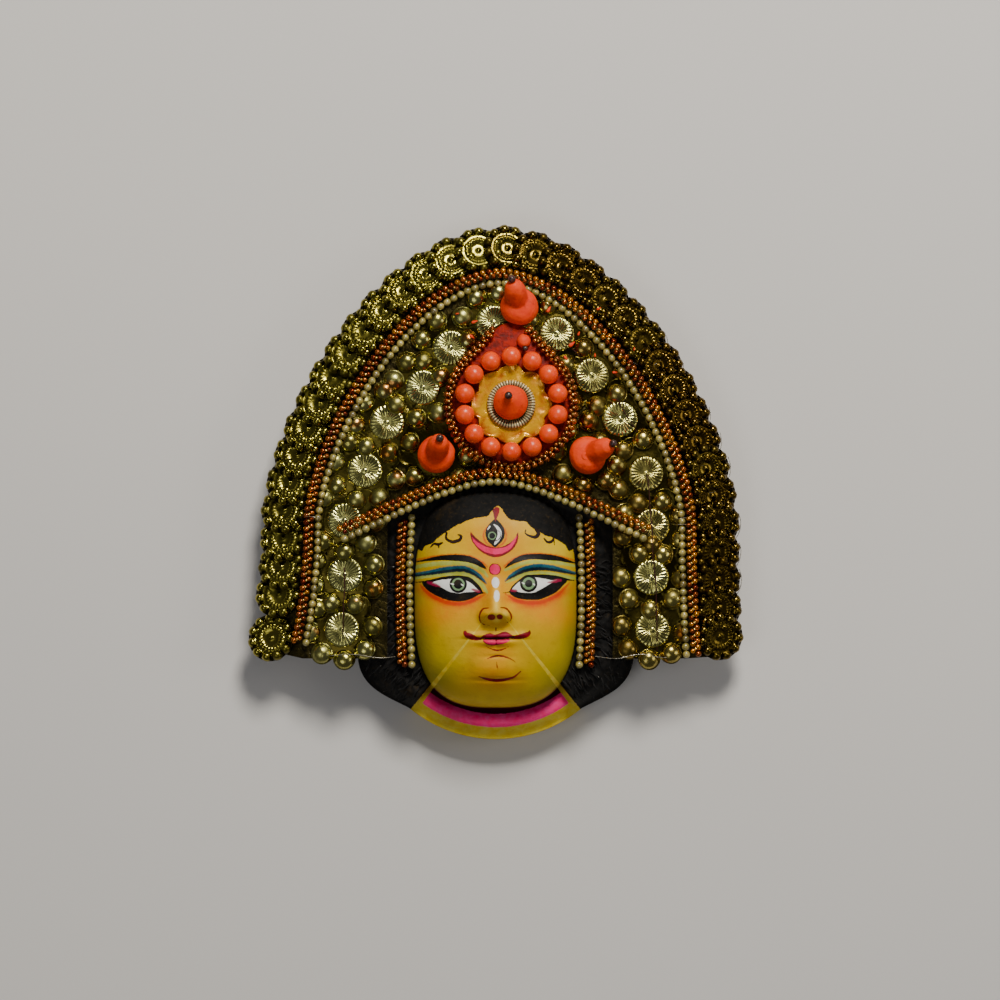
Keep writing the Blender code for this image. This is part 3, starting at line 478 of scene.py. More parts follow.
maroon = layer(
    patch((-12.6, 36.6), (-11.9, 32.2), (-8.5, 27.6), (-4.0, 24.7), (0, 23.8), (4.0, 24.7), (8.5, 27.6),
          (11.2, 32.2), (11.1, 36.5), (9.9, 33.5), (7.1, 31.0), (4.0, 29.3), (0, 28.6), (-4.0, 29.6),
          (-8.1, 32.2), (-11.0, 34.8)),
    patch((0.4, 48.9), (2.0, 47.8), (1.5, 45.1), (0.4, 42.7), (0, 41.5), (-0.7, 43.3), (-1.1, 45.6),
          (-1.4, 47.3)),
    ring(-0.3, 17.8, 2.7, 0.35),
    stroke((-3.3, -1.4, 0.2), (-6.2, -1.9, 0.4), (-7.9, -4.7, 0.4), (-7.8, -7.6, 0.35),
           (-6.2, -9.5, 0.25), (-3.0, -10.3, 0.15)),
    stroke((2.4, -1.2, 0.2), (5.0, -1.5, 0.4), (6.9, -3.4, 0.4), (7.9, -5.7, 0.4), (7.2, -7.9, 0.2),
           (5.0, -9.0, 0.15)),
    stroke((-15.2, -13.5, 0.8), (-14.6, -14.7, 1.25), (-12.5, -15.6, 1.5), (-10.0, -16.6, 1.1),
           (-7.4, -16.9, 0.6)),
    stroke((17.0, -13.1, 0.5), (16.5, -14.2, 1), (14.6, -15.1, 1.4), (11.4, -15.9, 1.1),
           (8.2, -16.2, 0.7)),
    patch((-7.4, -16.7), (-6.2, -15.1), (-3.0, -14.0), (-0.7, -14.6), (1.2, -14.3), (4.4, -13.2),
          (6.9, -14.0), (8.8, -15.6), (7.2, -16.5), (0.2, -16.8), (-3.6, -16.7)),
    patch((-6.2, -17.3), (-4.6, -19.5), (-1.4, -20.2), (1.8, -19.8), (5.3, -18.8), (7.1, -17.0),
          (0.2, -17.2)),
    stroke((-4.9, -20.3, 0.15), (-2.3, -21.9, 0.3), (1.2, -22.6, 0.4), (4.4, -21.8, 0.3),
           (6.6, -20.5, 0.15)),
    stroke((0.2, -11.3, 0.2), (0.2, -12.7, 0.4)),
    stroke((-4.3, -26.9, 0.15), (-1.4, -25.8, 0.4), (1.8, -25.3, 0.45), (5.0, -25.9, 0.4),
           (7.5, -26.9, 0.3), (10.1, -28.6, 0.15)),
    stroke((0.5, -28.3, 0.15), (0.8, -30.6, 0.3), (1.2, -32.1, 0.15)),
    stroke((-8.4, -35.7, 0.2), (-4.6, -36.9, 0.6), (0.2, -37.7, 0.8), (5.0, -37.2, 0.7),
           (9.1, -36.0, 0.5), (12.6, -33.1, 0.3)),
    oval(-2, -6.0, 2.0, 1.5),
    oval(2.1, -5.8, 1.6, 1.3))
curls = layer(
    stroke((-24.4, 36.0, 0.5), (-24.6, 33.1, 0.6), (-21.9, 31.5, 0.8), (-19.7, 31.7, 0.9),
           (-17.7, 32.6, 0.8), (-17.2, 34.4, 0.6), (-18.8, 35.1, 0.3)),
    stroke((-32.6, 28.6, 0.3), (-30.8, 30.4, 0.5), (-28.6, 30.2, 0.7), (-26.4, 31.0, 0.4)),
    stroke((-28.6, 29.9, 0.4), (-28.2, 28.1, 0.2)),
    stroke((15.1, 37.5, 0.3), (14.9, 35.7, 0.4), (17.4, 34.2, 0.6), (20.1, 33.9, 0.9), (21.4, 35.7, 1),
           (20.1, 37.5, 0.6)),
    stroke((24.1, 33.3, 0.3), (25.9, 31.3, 0.6), (28.1, 31.7, 0.7), (29.0, 33.5, 0.3)),
    stroke((29.0, 33.1, 0.4), (29.4, 29.9, 0.2)),
    ring(-0.2, 34.8, 2.75, 0.25))
pink = layer(
    patch((-6.2, -17.2), (-3.3, -17.5), (-0.2, -17.6), (-0.1, -19.5), (-3.3, -19.6), (-5.2, -18.6)),
    patch((0.7, -17.6), (4.0, -17.4), (7.1, -16.8), (6.3, -18.2), (3.4, -19.3), (0.8, -19.5)),
    stroke((-11.6, 33.5, 0.2), (-9.6, 30.8, 0.75), (-6.3, 28.4, 1.15), (-3.2, 27.2, 1.4), (0, 26.7, 1.5),
           (3.5, 27.2, 1.35), (6.7, 28.7, 1.05), (8.9, 31.3, 0.7), (10.5, 34.2, 0.2)),
    oval(-0.3, 17.8, 2.5, 2.5))
magenta = layer(
    stroke((-33.9, 11.2, 0.5), (-31.8, 10.6, 0.85), (-29.7, 9.9, 0.7), (-27.6, 9.1, 0.25)),
    stroke((-12.0, 7.9, 0.25), (-10.2, 7.3, 0.75), (-8.1, 6.7, 0.6)),
    stroke((7.9, 7.2, 0.5), (9.4, 7.2, 0.75), (10.8, 7.1, 0.3)),
    stroke((26.1, 11.1, 0.25), (28.2, 11.5, 0.55), (30.3, 12.0, 0.85), (32.4, 12.3, 0.6)),
    patch((1.2, -15.6), (2.1, -14.8), (4.4, -14.1), (6.6, -14.6), (6.7, -15.6), (4.4, -15.8)),
    patch((-4.9, -15.7), (-3.3, -14.8), (-1.4, -15.2), (-0.9, -15.9), (-3.0, -16.1)))
rosy = layer(
    stroke((-40.2, 22.2, 0.4), (-34.8, 23.3, 0.5), (-27.3, 24.5, 0.6), (-19.8, 24.8, 0.7),
           (-13.8, 24.3, 0.7), (-9.3, 22.8, 0.6), (-6.0, 20.8, 0.5), (-3.9, 18.9, 0.3)),
    stroke((4.3, 19.2, 0.3), (8.1, 22.2, 0.6), (13.2, 24.5, 0.7), (19.2, 25.4, 0.7), (25.2, 25.1, 0.7),
           (31.2, 24.3, 0.6), (35.7, 23.1, 0.5), (39.9, 22.0, 0.3)),
    stroke((-37.8, 10.2, 0.3), (-35.7, 7.8, 0.9), (-32.4, 4.9, 1), (-28.5, 2.8, 1), (-24.3, 1.2, 1),
           (-19.8, 0.5, 1), (-15.0, 0.9, 0.9), (-11.1, 2.2, 0.8), (-7.8, 4.0, 0.6), (-5.1, 5.5, 0.2)),
    stroke((4.6, 5.8, 0.2), (7.5, 4.0, 0.7), (10.2, 2.4, 1), (14.1, 1.4, 1), (18.9, 1.2, 1),
           (22.8, 1.5, 1), (27.3, 3.1, 1), (31.2, 5.2, 0.9), (34.2, 8.1, 0.7), (36.9, 10.9, 0.3)),
    ring(-0.3, 34.6, 5.6, 0.4))
mouth_line = layer(
    stroke((-7.4, -16.5, 0.3), (-3.0, -16.7, 0.5), (0.2, -16.5, 0.6), (5.0, -16.4, 0.4),
           (9.1, -15.9, 0.4)))
from_nose = np.hypot(px, py)
turn = np.degrees(np.abs(np.arctan2(px, -py)))
face_edge = face_radius(np.arctan2(px, -py))
beyond = np.minimum(from_nose - face_edge + 0.4, (turn - NECK_SPREAD) * np.radians(from_nose))
neck = turn < NECK_SPREAD
paint = {
    "hair": layer(hairline, beyond),
    "pale_lids": pale_lids, "teal_lids": teal_lids, "navy_lids": navy_lids, "black_lines": black_lines,
    "eye_whites": eye_whites, "iris_black": iris_black, "iris_green": iris_green, "glints": glints,
    "maroon": maroon, "curls": curls, "pink": pink, "magenta": magenta, "mouth_line": mouth_line,
    "rosy": rosy,
    "neck_shade": np.where(neck, from_nose - face_edge + 0.5, FAR),
    "neck_pink": np.where(neck, from_nose - 54.9, FAR),
    "neck_yellow": np.where(neck, np.maximum(from_nose - 61.6, turn - NECK_SPREAD + 2.4), FAR),
    "warm": np.clip(0.6 * spot(0, 28, 19, 22) + 0.4 * spot(0, 5, 7, 16) + 0.5 * spot(0, -24, 12, 7)
                    + 0.75 * spot(-24, -3, 16, 8, 12) + 0.75 * spot(25, -3, 15, 8, -12)
                    + 0.6 * spot(0, -36, 12, 6), 0, 1),
    # Olive towards the face's sides and jaw, where the dome turns away: partly the paint's own shading,
    # partly painted shade.
    "olive": np.clip(spot(-39, -14, 8, 24) + spot(39, -14, 8, 24) + 0.7 * spot(-28, -36, 10, 12, -35)
                     + 0.7 * spot(28, -36, 10, 12, 35), 0, 1),
    # Painted highlights on the nose: a light stripe down its ridge, a lighter patch under its tip and a spot
    # on its right wing.
    "pale": np.clip(spot(0.4, 2, 1.5, 9) + 0.9 * spot(0.3, -7.6, 2.6, 1.3)
                    + 0.9 * spot(5.0, -4.6, 1.5, 1.7), 0, 1),
    "glow": np.clip(np.maximum.reduce((
        spot(-30.5, 4.0, 9.0, 2.6, -28), spot(-20.5, 0.9, 9.0, 2.3, -6), spot(-11.5, 2.5, 6.0, 2.0, 20),
        spot(11.0, 2.0, 7.0, 2.0, -14), spot(20.5, 0.6, 9.0, 2.3, 6), spot(30.0, 4.0, 8.0, 2.4, 30))), 0, 1),
    "front": np.broadcast_to(front, rings.shape[:2]).ravel(),
}
rings[..., :2] += NOSE_PLACE
face = rolled("painted_head", rings, {key: value.reshape(rings.shape[:2]) for key, value in paint.items()})
settle(face)


def new_group(name, inputs, outputs):
    """A shader node group whose inputs are numbers, and its two end nodes."""
    group = bpy.data.node_groups.new(name, "ShaderNodeTree")
    for key, value in inputs.items():
        group.interface.new_socket(key, in_out="INPUT", socket_type="NodeSocketFloat").default_value = value
    for key in outputs:
        group.interface.new_socket(key, in_out="OUTPUT", socket_type="NodeSocketFloat")
    return group, group.nodes.new("NodeGroupInput"), group.nodes.new("NodeGroupOutput")


def placed(tree, group, **inputs):
    """Puts a node group in a material; an input's spaces are underscores."""
    made = tree.nodes.new("ShaderNodeGroup")
    made.node_tree = group
    for key, value in inputs.items():
        if isinstance(value, bpy.types.NodeSocket):
            tree.links.new(value, made.inputs[key.replace("_", " ")])
        else:
            made.inputs[key.replace("_", " ")].default_value = value
    return made


def noise(tree, scale, detail=3.0, roughness=0.55, distortion=0.0):
    """Noise on the piece's own coordinates; scale is in waves per metre."""
    return node(tree, "TexNoise", {
        "Vector": node(tree, "TexCoord").outputs["Object"], "Scale": scale, "Detail": detail,
        "Roughness": roughness, "Distortion": distortion}).outputs["Fac"]


def math_node(tree, operation, first, second=0.0, third=0.0):
    return node(tree, "Math", {0: first, 1: second, 2: third}, operation=operation).outputs[0]


def ramp(tree, value, low, high, start=0.0, end=1.0):
    """Stretches a value between two limits, softly."""
    return node(tree, "MapRange", {"Value": value, "From Min": low, "From Max": high, "To Min": start,
                                   "To Max": end}, interpolation_type="SMOOTHSTEP").outputs["Result"]


def bump_of(tree, height, depth):
    """A normal from a height from 0 to 1, whose depth is in millimetres."""
    return node(tree, "Bump", {"Height": height, "Distance": depth * MM}).outputs["Normal"]


def stored(tree, name):
    """A value that the piece's points carry."""
    return node(tree, "Attribute", attribute_name=name).outputs["Fac"]


def stained(tree, colour, amount, mask, stain):
    """A colour with a stain laid over it by a mask, at most by this amount."""
    return mixed(tree, math_node(tree, "MULTIPLY", mask, amount), colour, stain)


def srgb(red, green, blue):
    """A paint's colour, from the 0 to 255 that a colour chart gives."""
    def light(c):
        c /= 255
        return c / 12.92 if c <= 0.04045 else ((c + 0.055) / 1.055) ** 2.4
    return light(red), light(green), light(blue), 1.0


# Where a field crosses zero, a brush leaves a slightly ragged edge.
brush_edge, start, end = new_group("brush_edge", {"Field": 0.0, "Softness": 0.14, "Wobble": 0.5}, ["Mask"])
tree = brush_edge
ragged = math_node(tree, "SUBTRACT", noise(tree, 800.0, 3.0), 0.5)
shifted = math_node(tree, "MULTIPLY_ADD", ragged, start.outputs["Wobble"], start.outputs["Field"])
minus = math_node(tree, "MULTIPLY", start.outputs["Softness"], -1.0)
mask = node(tree, "MapRange", {"Value": shifted, "From Min": minus, "From Max": start.outputs["Softness"]},
            interpolation_type="SMOOTHSTEP").outputs["Result"]
tree.links.new(mask, end.inputs["Mask"])

# Grime lies in patches, and paint wears in small flecks.
worn_patches, start, end = new_group("worn_patches", {"Scale": 60.0, "Low": 0.5, "High": 0.7},
                                     ["Patches", "Flecks"])
tree = worn_patches
place = node(tree, "TexCoord").outputs["Object"]
broad = node(tree, "TexNoise", {"Vector": place, "Scale": start.outputs["Scale"], "Detail": 6.0,
                                "Roughness": 0.62}).outputs["Fac"]
fine_scale = math_node(tree, "MULTIPLY", start.outputs["Scale"], 9.0)
fine = node(tree, "TexNoise", {"Vector": place, "Scale": fine_scale, "Detail": 3.0}).outputs["Fac"]
for key, value in (("Patches", broad), ("Flecks", fine)):
    mask = node(tree, "MapRange", {"Value": value, "From Min": start.outputs["Low"],
                                   "From Max": start.outputs["High"]}, interpolation_type="SMOOTHSTEP")
    tree.links.new(mask.outputs["Result"], end.inputs[key])

head_paint, tree, shader = new_material("head_paint", Specular_IOR_Level=0.15, Coat_Roughness=0.3)
attribute = {key: stored(tree, key) for key in paint}


def covered(colour, key, paint_colour, softness=0.14, wobble=0.5, strength=1.0):
    """Lays a coat of paint over a colour where the named field is above zero."""
    mask = placed(tree, brush_edge, Field=attribute[key], Softness=softness, Wobble=wobble).outputs["Mask"]
    if strength != 1.0:
        mask = math_node(tree, "MULTIPLY", mask, strength)
    return mixed(tree, mask, colour, paint_colour)


streaks = noise(tree, 240.0, 5.0, 0.6, 0.4)
cloudy = noise(tree, 55.0, 4.0)


def streaky(first, second, high=0.7):
    """A paint that dried in brush streaks of two tones."""
    return mixed(tree, ramp(tree, streaks, 0.3, high), srgb(*first), srgb(*second))


colour = mixed(tree, ramp(tree, cloudy, 0.35, 0.7), srgb(206, 166, 4), srgb(222, 186, 12))
# The olive at the face's sides is partly painted shade.
colour = stained(tree, colour, 0.85, attribute["olive"], srgb(128, 124, 6))
# Orange and red blushes of paint, and the painted highlights on the nose.
for key, limits, blush_and_highlight in (("warm", (0.2, 0.75, 0.65, 1.0), (232, 132, 0)),
                           ("pale", (0.2, 0.75, 0.55, 0.8), (236, 214, 84)),
                           ("glow", (0.25, 0.7, 0.7, 1.0), (214, 60, 8))):
    thin = math_node(tree, "MULTIPLY", attribute[key], ramp(tree, streaks, *limits))
    colour = mixed(tree, thin, colour, srgb(*blush_and_highlight))
colour = covered(colour, "rosy", srgb(200, 48, 10), 0.55, 1.0, 0.8)
colour = covered(colour, "pale_lids", streaky((160, 176, 62), (172, 190, 100)), 0.35, 0.9, 0.85)
colour = covered(colour, "teal_lids", streaky((20, 72, 96), (44, 104, 120)), 0.3, 0.8)
colour = covered(colour, "navy_lids", srgb(6, 18, 30), 0.35, 0.8, 0.9)
colour = covered(colour, "neck_shade", srgb(64, 2, 10), 0.5)
colour = covered(colour, "neck_pink", streaky((255, 30, 116), (255, 70, 146)), 0.2, 0.7)
colour = covered(colour, "neck_yellow", streaky((214, 176, 10), (222, 198, 70)), 0.2, 0.7)
colour = covered(colour, "hair", streaky((6, 6, 6), (22, 20, 18), 0.75), 0.2, 1.0)
colour = covered(colour, "black_lines", srgb(10, 8, 7), 0.16, 0.4)
colour = covered(colour, "eye_whites", streaky((232, 232, 226), (238, 238, 232), 0.75), 0.14, 0.4)
colour = covered(colour, "curls", srgb(36, 16, 12), 0.14, 0.4)
colour = covered(colour, "maroon", streaky((96, 2, 14), (146, 6, 26)), 0.15, 0.4)
colour = covered(colour, "magenta", srgb(150, 12, 60), 0.35, 0.7, 0.9)
colour = covered(colour, "pink", streaky((224, 14, 76), (244, 44, 108)), 0.2, 0.4)
colour = covered(colour, "mouth_line", srgb(34, 6, 10), 0.15, 0.3)
colour = covered(colour, "iris_black", srgb(5, 5, 6), 0.12, 0.2)
colour = covered(colour, "iris_green", srgb(118, 150, 106), 0.15, 0.4)
colour = covered(colour, "glints", srgb(236, 240, 232), 0.15, 0.2)
wear = placed(tree, worn_patches, Scale=70.0, Low=0.56, High=0.74)
colour = stained(tree, colour, 0.16, wear.outputs["Patches"], srgb(104, 78, 30))
colour = stained(tree, colour, 0.10, wear.outputs["Flecks"], srgb(118, 92, 44))
outside = ramp(tree, attribute["front"], 0.2, 0.4)
paper_bits = noise(tree, 130.0, 5.0, 0.7, 1.2)
paper = mixed(tree, ramp(tree, paper_bits, 0.35, 0.65), srgb(148, 130, 100), srgb(186, 170, 138))
hairy = placed(tree, brush_edge, Field=attribute["hair"], Softness=0.3, Wobble=1.0).outputs["Mask"]
gloss = ramp(tree, streaks, 0.25, 0.75, 0.44, 0.60)
gloss = node(tree, "Mix", {0: hairy, 2: gloss, 3: 0.72}, data_type="FLOAT").outputs[0]
gloss = node(tree, "Mix", {0: outside, 2: 0.9, 3: gloss}, data_type="FLOAT").outputs[0]
bristles = noise(tree, 520.0, 4.0, 0.6, 0.6)
brushed = math_node(tree, "MULTIPLY_ADD", bristles, 0.6, math_node(tree, "MULTIPLY", cloudy, 2.0))
feed(shader, Base_Color=mixed(tree, outside, paper, colour), Roughness=gloss,
     Coat_Weight=math_node(tree, "MULTIPLY", outside, ramp(tree, hairy, 0.0, 1.0, 0.04, 0.0)),
     Normal=bump_of(tree, brushed, 0.22))
face.data.materials.append(head_paint)
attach(face, "root")
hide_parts("face_mask")

# Coarse black strands of jute are glued and painted over the swell of hair beside the jaw, so that
# it looks rough and clumpy. Each is a short bent hank, modelled once and laid on the shell at random.
STRAND_R, STRAND_STRETCH, STRAND_BEND, STRAND_WAVE, STRAND_COUNT = 0.42, 8.0, 0.9, 2.2, 420


def bead(name, radius, around=10, along=7, stretch=1.0):
    """A small ball, as wound or turned beads are, slightly flattened along its hole."""
    select_only()
    bpy.ops.mesh.primitive_uv_sphere_add(segments=around, ring_count=along, radius=radius * MM)
    made = bpy.context.object
    made.name = name
    in_edit_mode(bpy.ops.transform.resize, value=(1, 1, stretch))
    bpy.ops.object.shade_smooth()
    return made


def copies(pattern, name, places, tints=None):
    """Copies a modelled piece to each place, a matrix in plan millimetres, and joins the copies."""
    made = []
    for i, place in enumerate(places):
        copy = pattern.copy()
        copy.data = pattern.data.copy()
        bpy.context.collection.objects.link(copy)
        moved = place.copy()
        moved.translation = Vector(to_table(place.translation))
        copy.matrix_world = moved
        if tints is not None:
            tint = copy.data.attributes.new("tint", "FLOAT", "POINT")
            tint.data.foreach_set("value", np.full(len(copy.data.vertices), tints[i], np.float32))
        made.append(copy)
    old = pattern.data
    bpy.data.objects.remove(pattern)
    bpy.data.meshes.remove(old)
    select_only(*made)
    bpy.context.view_layer.update()
    if len(made) > 1:
        bpy.ops.object.join()
    bpy.ops.object.transform_apply(location=True, rotation=True, scale=True)
    made[0].name = made[0].data.name = name
    return made[0]


def facing(direction, spin=0.0):
    """A turn that points a piece's z along a direction."""
    return Vector(direction).to_track_quat("Z", "Y").to_matrix().to_4x4() @ Matrix.Rotation(spin, 4, "Z")


def at(x, y, z):
    return Matrix.Translation((x, y, z))


def about(axis, degrees):
    return Matrix.Rotation(math.radians(degrees), 4, axis)


strand = bead("strand", STRAND_R, 5, 6, STRAND_STRETCH)
in_edit_mode(bpy.ops.mesh.bisect, plane_co=(0, 0, 0), plane_no=(0, 0, 1))
for corner in strand.data.vertices:
    corner.co.x += STRAND_BEND * MM * math.cos(corner.co.z / (STRAND_WAVE * MM))
rng = np.random.default_rng(11)
places = []
for i in range(STRAND_COUNT):
    side = 1 if i % 2 else -1
    a = math.radians(rng.uniform(NECK_SPREAD + 2, 112)) * side
    share = rng.uniform(0.06, 0.86)
    direction = np.array((math.sin(a), -math.cos(a)))
    r = blend(face_radius(a), outline_radius(a), share)
    x, y = direction * r + NOSE_PLACE
    if y > brow_line(x) - 7:
        continue
    z = float(surround_height(a, share, x, y))
    flow = Vector((direction[0] * 0.5 - direction[1] * side * 0.4, direction[1] * 0.8 - 0.35,
                   -0.35 * share)) + Vector(rng.uniform(-0.45, 0.45, 3)) * 0.8
    places.append(at(x, y, z + 0.15 + 0.6 * rng.random()) @ facing(flow, rng.uniform(0, 6.28))
                  @ Matrix.Scale(rng.uniform(0.55, 1.15), 4))
hair = copies(strand, "hair_strands", places)
hair_paint, tree, shader = new_material("hair_paint", Specular_IOR_Level=0.3)
strands = noise(tree, 900.0, 3.0)
colour = mixed(tree, ramp(tree, strands, 0.35, 0.8), srgb(6, 6, 6), srgb(30, 27, 24))
# Small pale specks on the black hair: painted glints.
painted_glint_specks = ramp(tree, noise(tree, 420.0, 2.0), 0.70, 0.78)
feed(shader, Base_Color=mixed(tree, painted_glint_specks, colour, srgb(168, 160, 150)),
     Roughness=ramp(tree, strands, 0.3, 0.7, 0.45, 0.8), Normal=bump_of(tree, strands, 0.2))
hair.data.materials.append(hair_paint)
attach(hair, "root")

# The crown's board is two layers of grey mill card, cut to an arch and glued over the head's
# shoulders. Its face is covered with olive foil, which shows between the flowers; its back is bare.
# The foil is coloured very dark, partly as painted shade for the gaps between the flowers.
board_foil, tree, shader = new_material("board_foil", Specular_IOR_Level=0.4)
fibre = noise(tree, 420.0, 6.0, 0.7, 0.8)
wrinkle = noise(tree, 210.0, 4.0, 0.6, 1.6)
facing_way = node(tree, "SeparateXYZ", {"Vector": node(tree, "NewGeometry").outputs["Normal"]})
faces_up = ramp(tree, facing_way.outputs["Z"], 0.0, 0.3)
foil_dark_with_gap_shade = mixed(tree, ramp(tree, wrinkle, 0.3, 0.7), srgb(30, 25, 8), srgb(60, 52, 20))
plain = mixed(tree, ramp(tree, fibre, 0.35, 0.65), srgb(132, 112, 84), srgb(164, 144, 112))
height = math_node(tree, "MULTIPLY_ADD", wrinkle, math_node(tree, "MULTIPLY", faces_up, 3.0), fibre)
feed(shader, Base_Color=mixed(tree, faces_up, plain, foil_dark_with_gap_shade),
     Metallic=math_node(tree, "MULTIPLY", faces_up, 0.9),
     Roughness=ramp(tree, faces_up, 0.0, 1.0, 0.9, 0.34), Normal=bump_of(tree, height, 0.25))
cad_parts["crown_board"].material_slots[0].material = board_foil

# The outer band is a row of stamped foil discs, each lying on the one before like a tile. A disc
# has a rim of balls, a smooth ring and a fluted cup. The left half is bright; the right half is
# painted darker and browner, as painted shade for the dark room that its discs reflect.
DISC_R, DISC_OFFSET, DISC_PITCH, DISC_TILT, DISC_FIRST_STEP = 12.2, 16.5, 14.0, 8.0, 20.4
LEFT_FOOT_Y, RIGHT_FOOT_Y, BAND_SLOPE = -80.0, -86.0, 20.0
DISC_LEFT_Y, DISC_RIGHT_Y = -81.0, -78.0
BALLS, FLUTES, DISC_COLUMNS, ARCH_STEPS = 11, 22, 110, 40
BALL_R, BALL_RING_R, BALL_SWELL, SCALLOP = 2.7, 9.75, 1.15, 0.75
LEG_FLARE, LEG_LENGTH = {-1: 6.5, 1: 2.0}, 62.0
RIGHT_SHADE_START_X, RIGHT_SHADE_FULL_X = -12, 16


def arch_leg(side, y):
    below = (ARCH_SPRING_Y - y) / LEG_LENGTH
    return Vector((ARCH_X + side * (ARCH_HALF_WIDTH + LEG_FLARE[side] * below ** 2), y))


def arch_curve(angle):
    c, s = math.cos(math.radians(angle)), math.sin(math.radians(angle))
    across = abs(c) ** (2 / ARCH_ROUND)
    return Vector((ARCH_X - math.copysign(ARCH_HALF_WIDTH * across, c),
                   ARCH_SPRING_Y + ARCH_RISE * s ** (2 / ARCH_POINT)))


def offset_line(points, offset):
    moved = []
    for i, p in enumerate(points):
        along = (points[min(i + 3, len(points) - 1)] - points[max(i - 3, 0)]).normalized()
        moved.append(p + offset * Vector((-along.y, along.x)))
    return moved


def arch_line(left_foot, right_foot, offset=0.0):
    """From the left foot over the crown to the right foot."""
    steps = ARCH_STEPS
    points = [arch_leg(-1, blend(left_foot, ARCH_SPRING_Y, i / steps)) for i in range(steps)]
    points += [arch_curve(180 * i / (4 * steps)) for i in range(4 * steps + 1)]
    points += [arch_leg(1, blend(ARCH_SPRING_Y, right_foot, i / steps)) for i in range(1, steps + 1)]
    return offset_line(points, offset) if offset else points


def even_points(points, spacing):
    """Evenly spaced places on a line, each with its direction."""
    lengths = [0.0]
    for a, b in zip(points, points[1:]):
        lengths.append(lengths[-1] + (b - a).length)
    count = max(1, round(lengths[-1] / spacing))
    found, j = [], 0
    for i in range(count + 1):
        want = lengths[-1] * i / count
        while j < len(points) - 2 and lengths[j + 1] < want:
            j += 1
        step = points[j + 1] - points[j]
        found.append((points[j] + step * ((want - lengths[j]) / max(step.length, 1e-9)), step.normalized()))
    return found


def board_z(p):
    return float(board_top(p[0], p[1]))


def wheel(columns):
    """Angles once round a turned or stamped form, clockwise."""
    return -2 * math.pi * np.arange(columns) / columns


def closed_disc(name, columns, top, thickness, under_rows=3):
    """A thin stamped disc: top gives a radius and a height for each row; the back is flat."""
    angle = wheel(columns)
    rows, grime_and_shade_rows = [], []
    for radius, height in top:
        radius = np.broadcast_to(radius(angle) if callable(radius) else radius, angle.shape)
        height = np.broadcast_to(height(angle) if callable(height) else height, angle.shape)
        rows.append(np.stack((radius * np.cos(angle), radius * np.sin(angle), height), axis=1))
        # Rows that lie low get dark: painted shade in the hollows, with some grime.
        grime_and_shade_rows.append(np.clip((height.mean() - height) / 0.45, 0, 1))
    rim = rows[-1].copy()
    for i in range(under_rows + 1):
        row = rim.copy()
        row[:, :2] *= 1 - i / under_rows
        row[:, 2] = -thickness
        rows.append(row)
        grime_and_shade_rows.append(np.ones(columns))
    return rolled(name, np.array(rows), {"hollow": np.array(grime_and_shade_rows)})


def ball_height(radius):
    def height(angle):
        nearest = (np.mod(angle * BALLS / (2 * math.pi) + 0.5, 1) - 0.5) * 2 * math.pi / BALLS
        d2 = radius ** 2 + BALL_RING_R ** 2 - 2 * radius * BALL_RING_R * np.cos(nearest)
        return 0.2 + BALL_SWELL * np.sqrt(np.maximum(0, BALL_R ** 2 - d2))
    return height


def scalloped(angle):
    return DISC_R - SCALLOP + SCALLOP * np.abs(np.cos(angle * BALLS / 2))


def fluted(depth, base):
    return lambda angle: base + depth * np.cos(FLUTES * angle)


rows = [(0.0, 0.75), (0.5, 0.7), (0.85, 0.3), (1.3, 0.05), (2.6, 0.0), (3.9, 0.18), (4.5, 0.5),
        (4.9, fluted(0.12, 0.7)), (5.6, fluted(0.2, 0.92)), (6.4, fluted(0.2, 0.96)),
        (7.0, fluted(0.12, 0.72)), (7.35, 0.45), (7.7, 0.85), (8.05, 0.4)]
rows += [(r, ball_height(r)) for r in (8.5, 9.1, 9.7, 10.3, 10.9, 11.5, 11.95)]
rows += [(scalloped, 0.15)]
disc = closed_disc("band_disc", DISC_COLUMNS, rows, 0.25)
line = arch_line(DISC_LEFT_Y, DISC_RIGHT_Y, DISC_OFFSET)
rest = [p for p in line if p.x > 0 or p.y > line[0].y + DISC_FIRST_STEP]
stations = [(line[0], (line[1] - line[0]).normalized())] + even_points(rest, DISC_PITCH)
lift = DISC_R * math.sin(math.radians(DISC_TILT)) + 0.9 + GAP
band_places, tints = [], []
rng = np.random.default_rng(5)
for centre, along in stations:
    out = Vector((-along.y, along.x))
    root = centre - out * DISC_OFFSET
    climb = (board_z(root + along) - board_z(root - along)) / 2
    ahead = Vector((*along, climb)).normalized()
    outward = Vector((*out, 0))
    up = ahead.cross(outward)
    turn = Matrix((ahead, outward, up)).transposed().to_4x4() @ about("X", -BAND_SLOPE)
    foot = Vector((*centre, board_z(root) - math.tan(math.radians(BAND_SLOPE)) * DISC_OFFSET))
    band_places.append(Matrix.Translation(foot + turn.to_3x3() @ Vector((0, 0, lift))) @ turn
                       @ about("Y", DISC_TILT) @ Matrix.Rotation(rng.uniform(0, 0.4), 4, "Z"))
    # The discs are painted darker towards the right: painted shade.
    dark = smooth(RIGHT_SHADE_START_X, RIGHT_SHADE_FULL_X, centre.x)
    tints.append(float(np.clip(dark * 0.85 + rng.uniform(-0.1, 0.12), 0, 1)))
band = copies(disc, "band_discs", band_places, tints)

# Foil is thin, so it is crinkled and dented; it tarnishes brown in patches.
foil_skin, start, end = new_group("foil_skin", {"Scale": 300.0}, ["Height", "Tarnish", "Specks"])
tree, scale = foil_skin, start.outputs["Scale"]
place = node(tree, "TexCoord").outputs["Object"]


def skin_noise(finer, **settings):
    """Noise at the foil's scale or some times finer."""
    at_scale = scale if finer == 1 else math_node(tree, "MULTIPLY", scale, finer)
    return node(tree, "TexNoise", {"Vector": place, "Scale": at_scale, **settings}).outputs["Fac"]


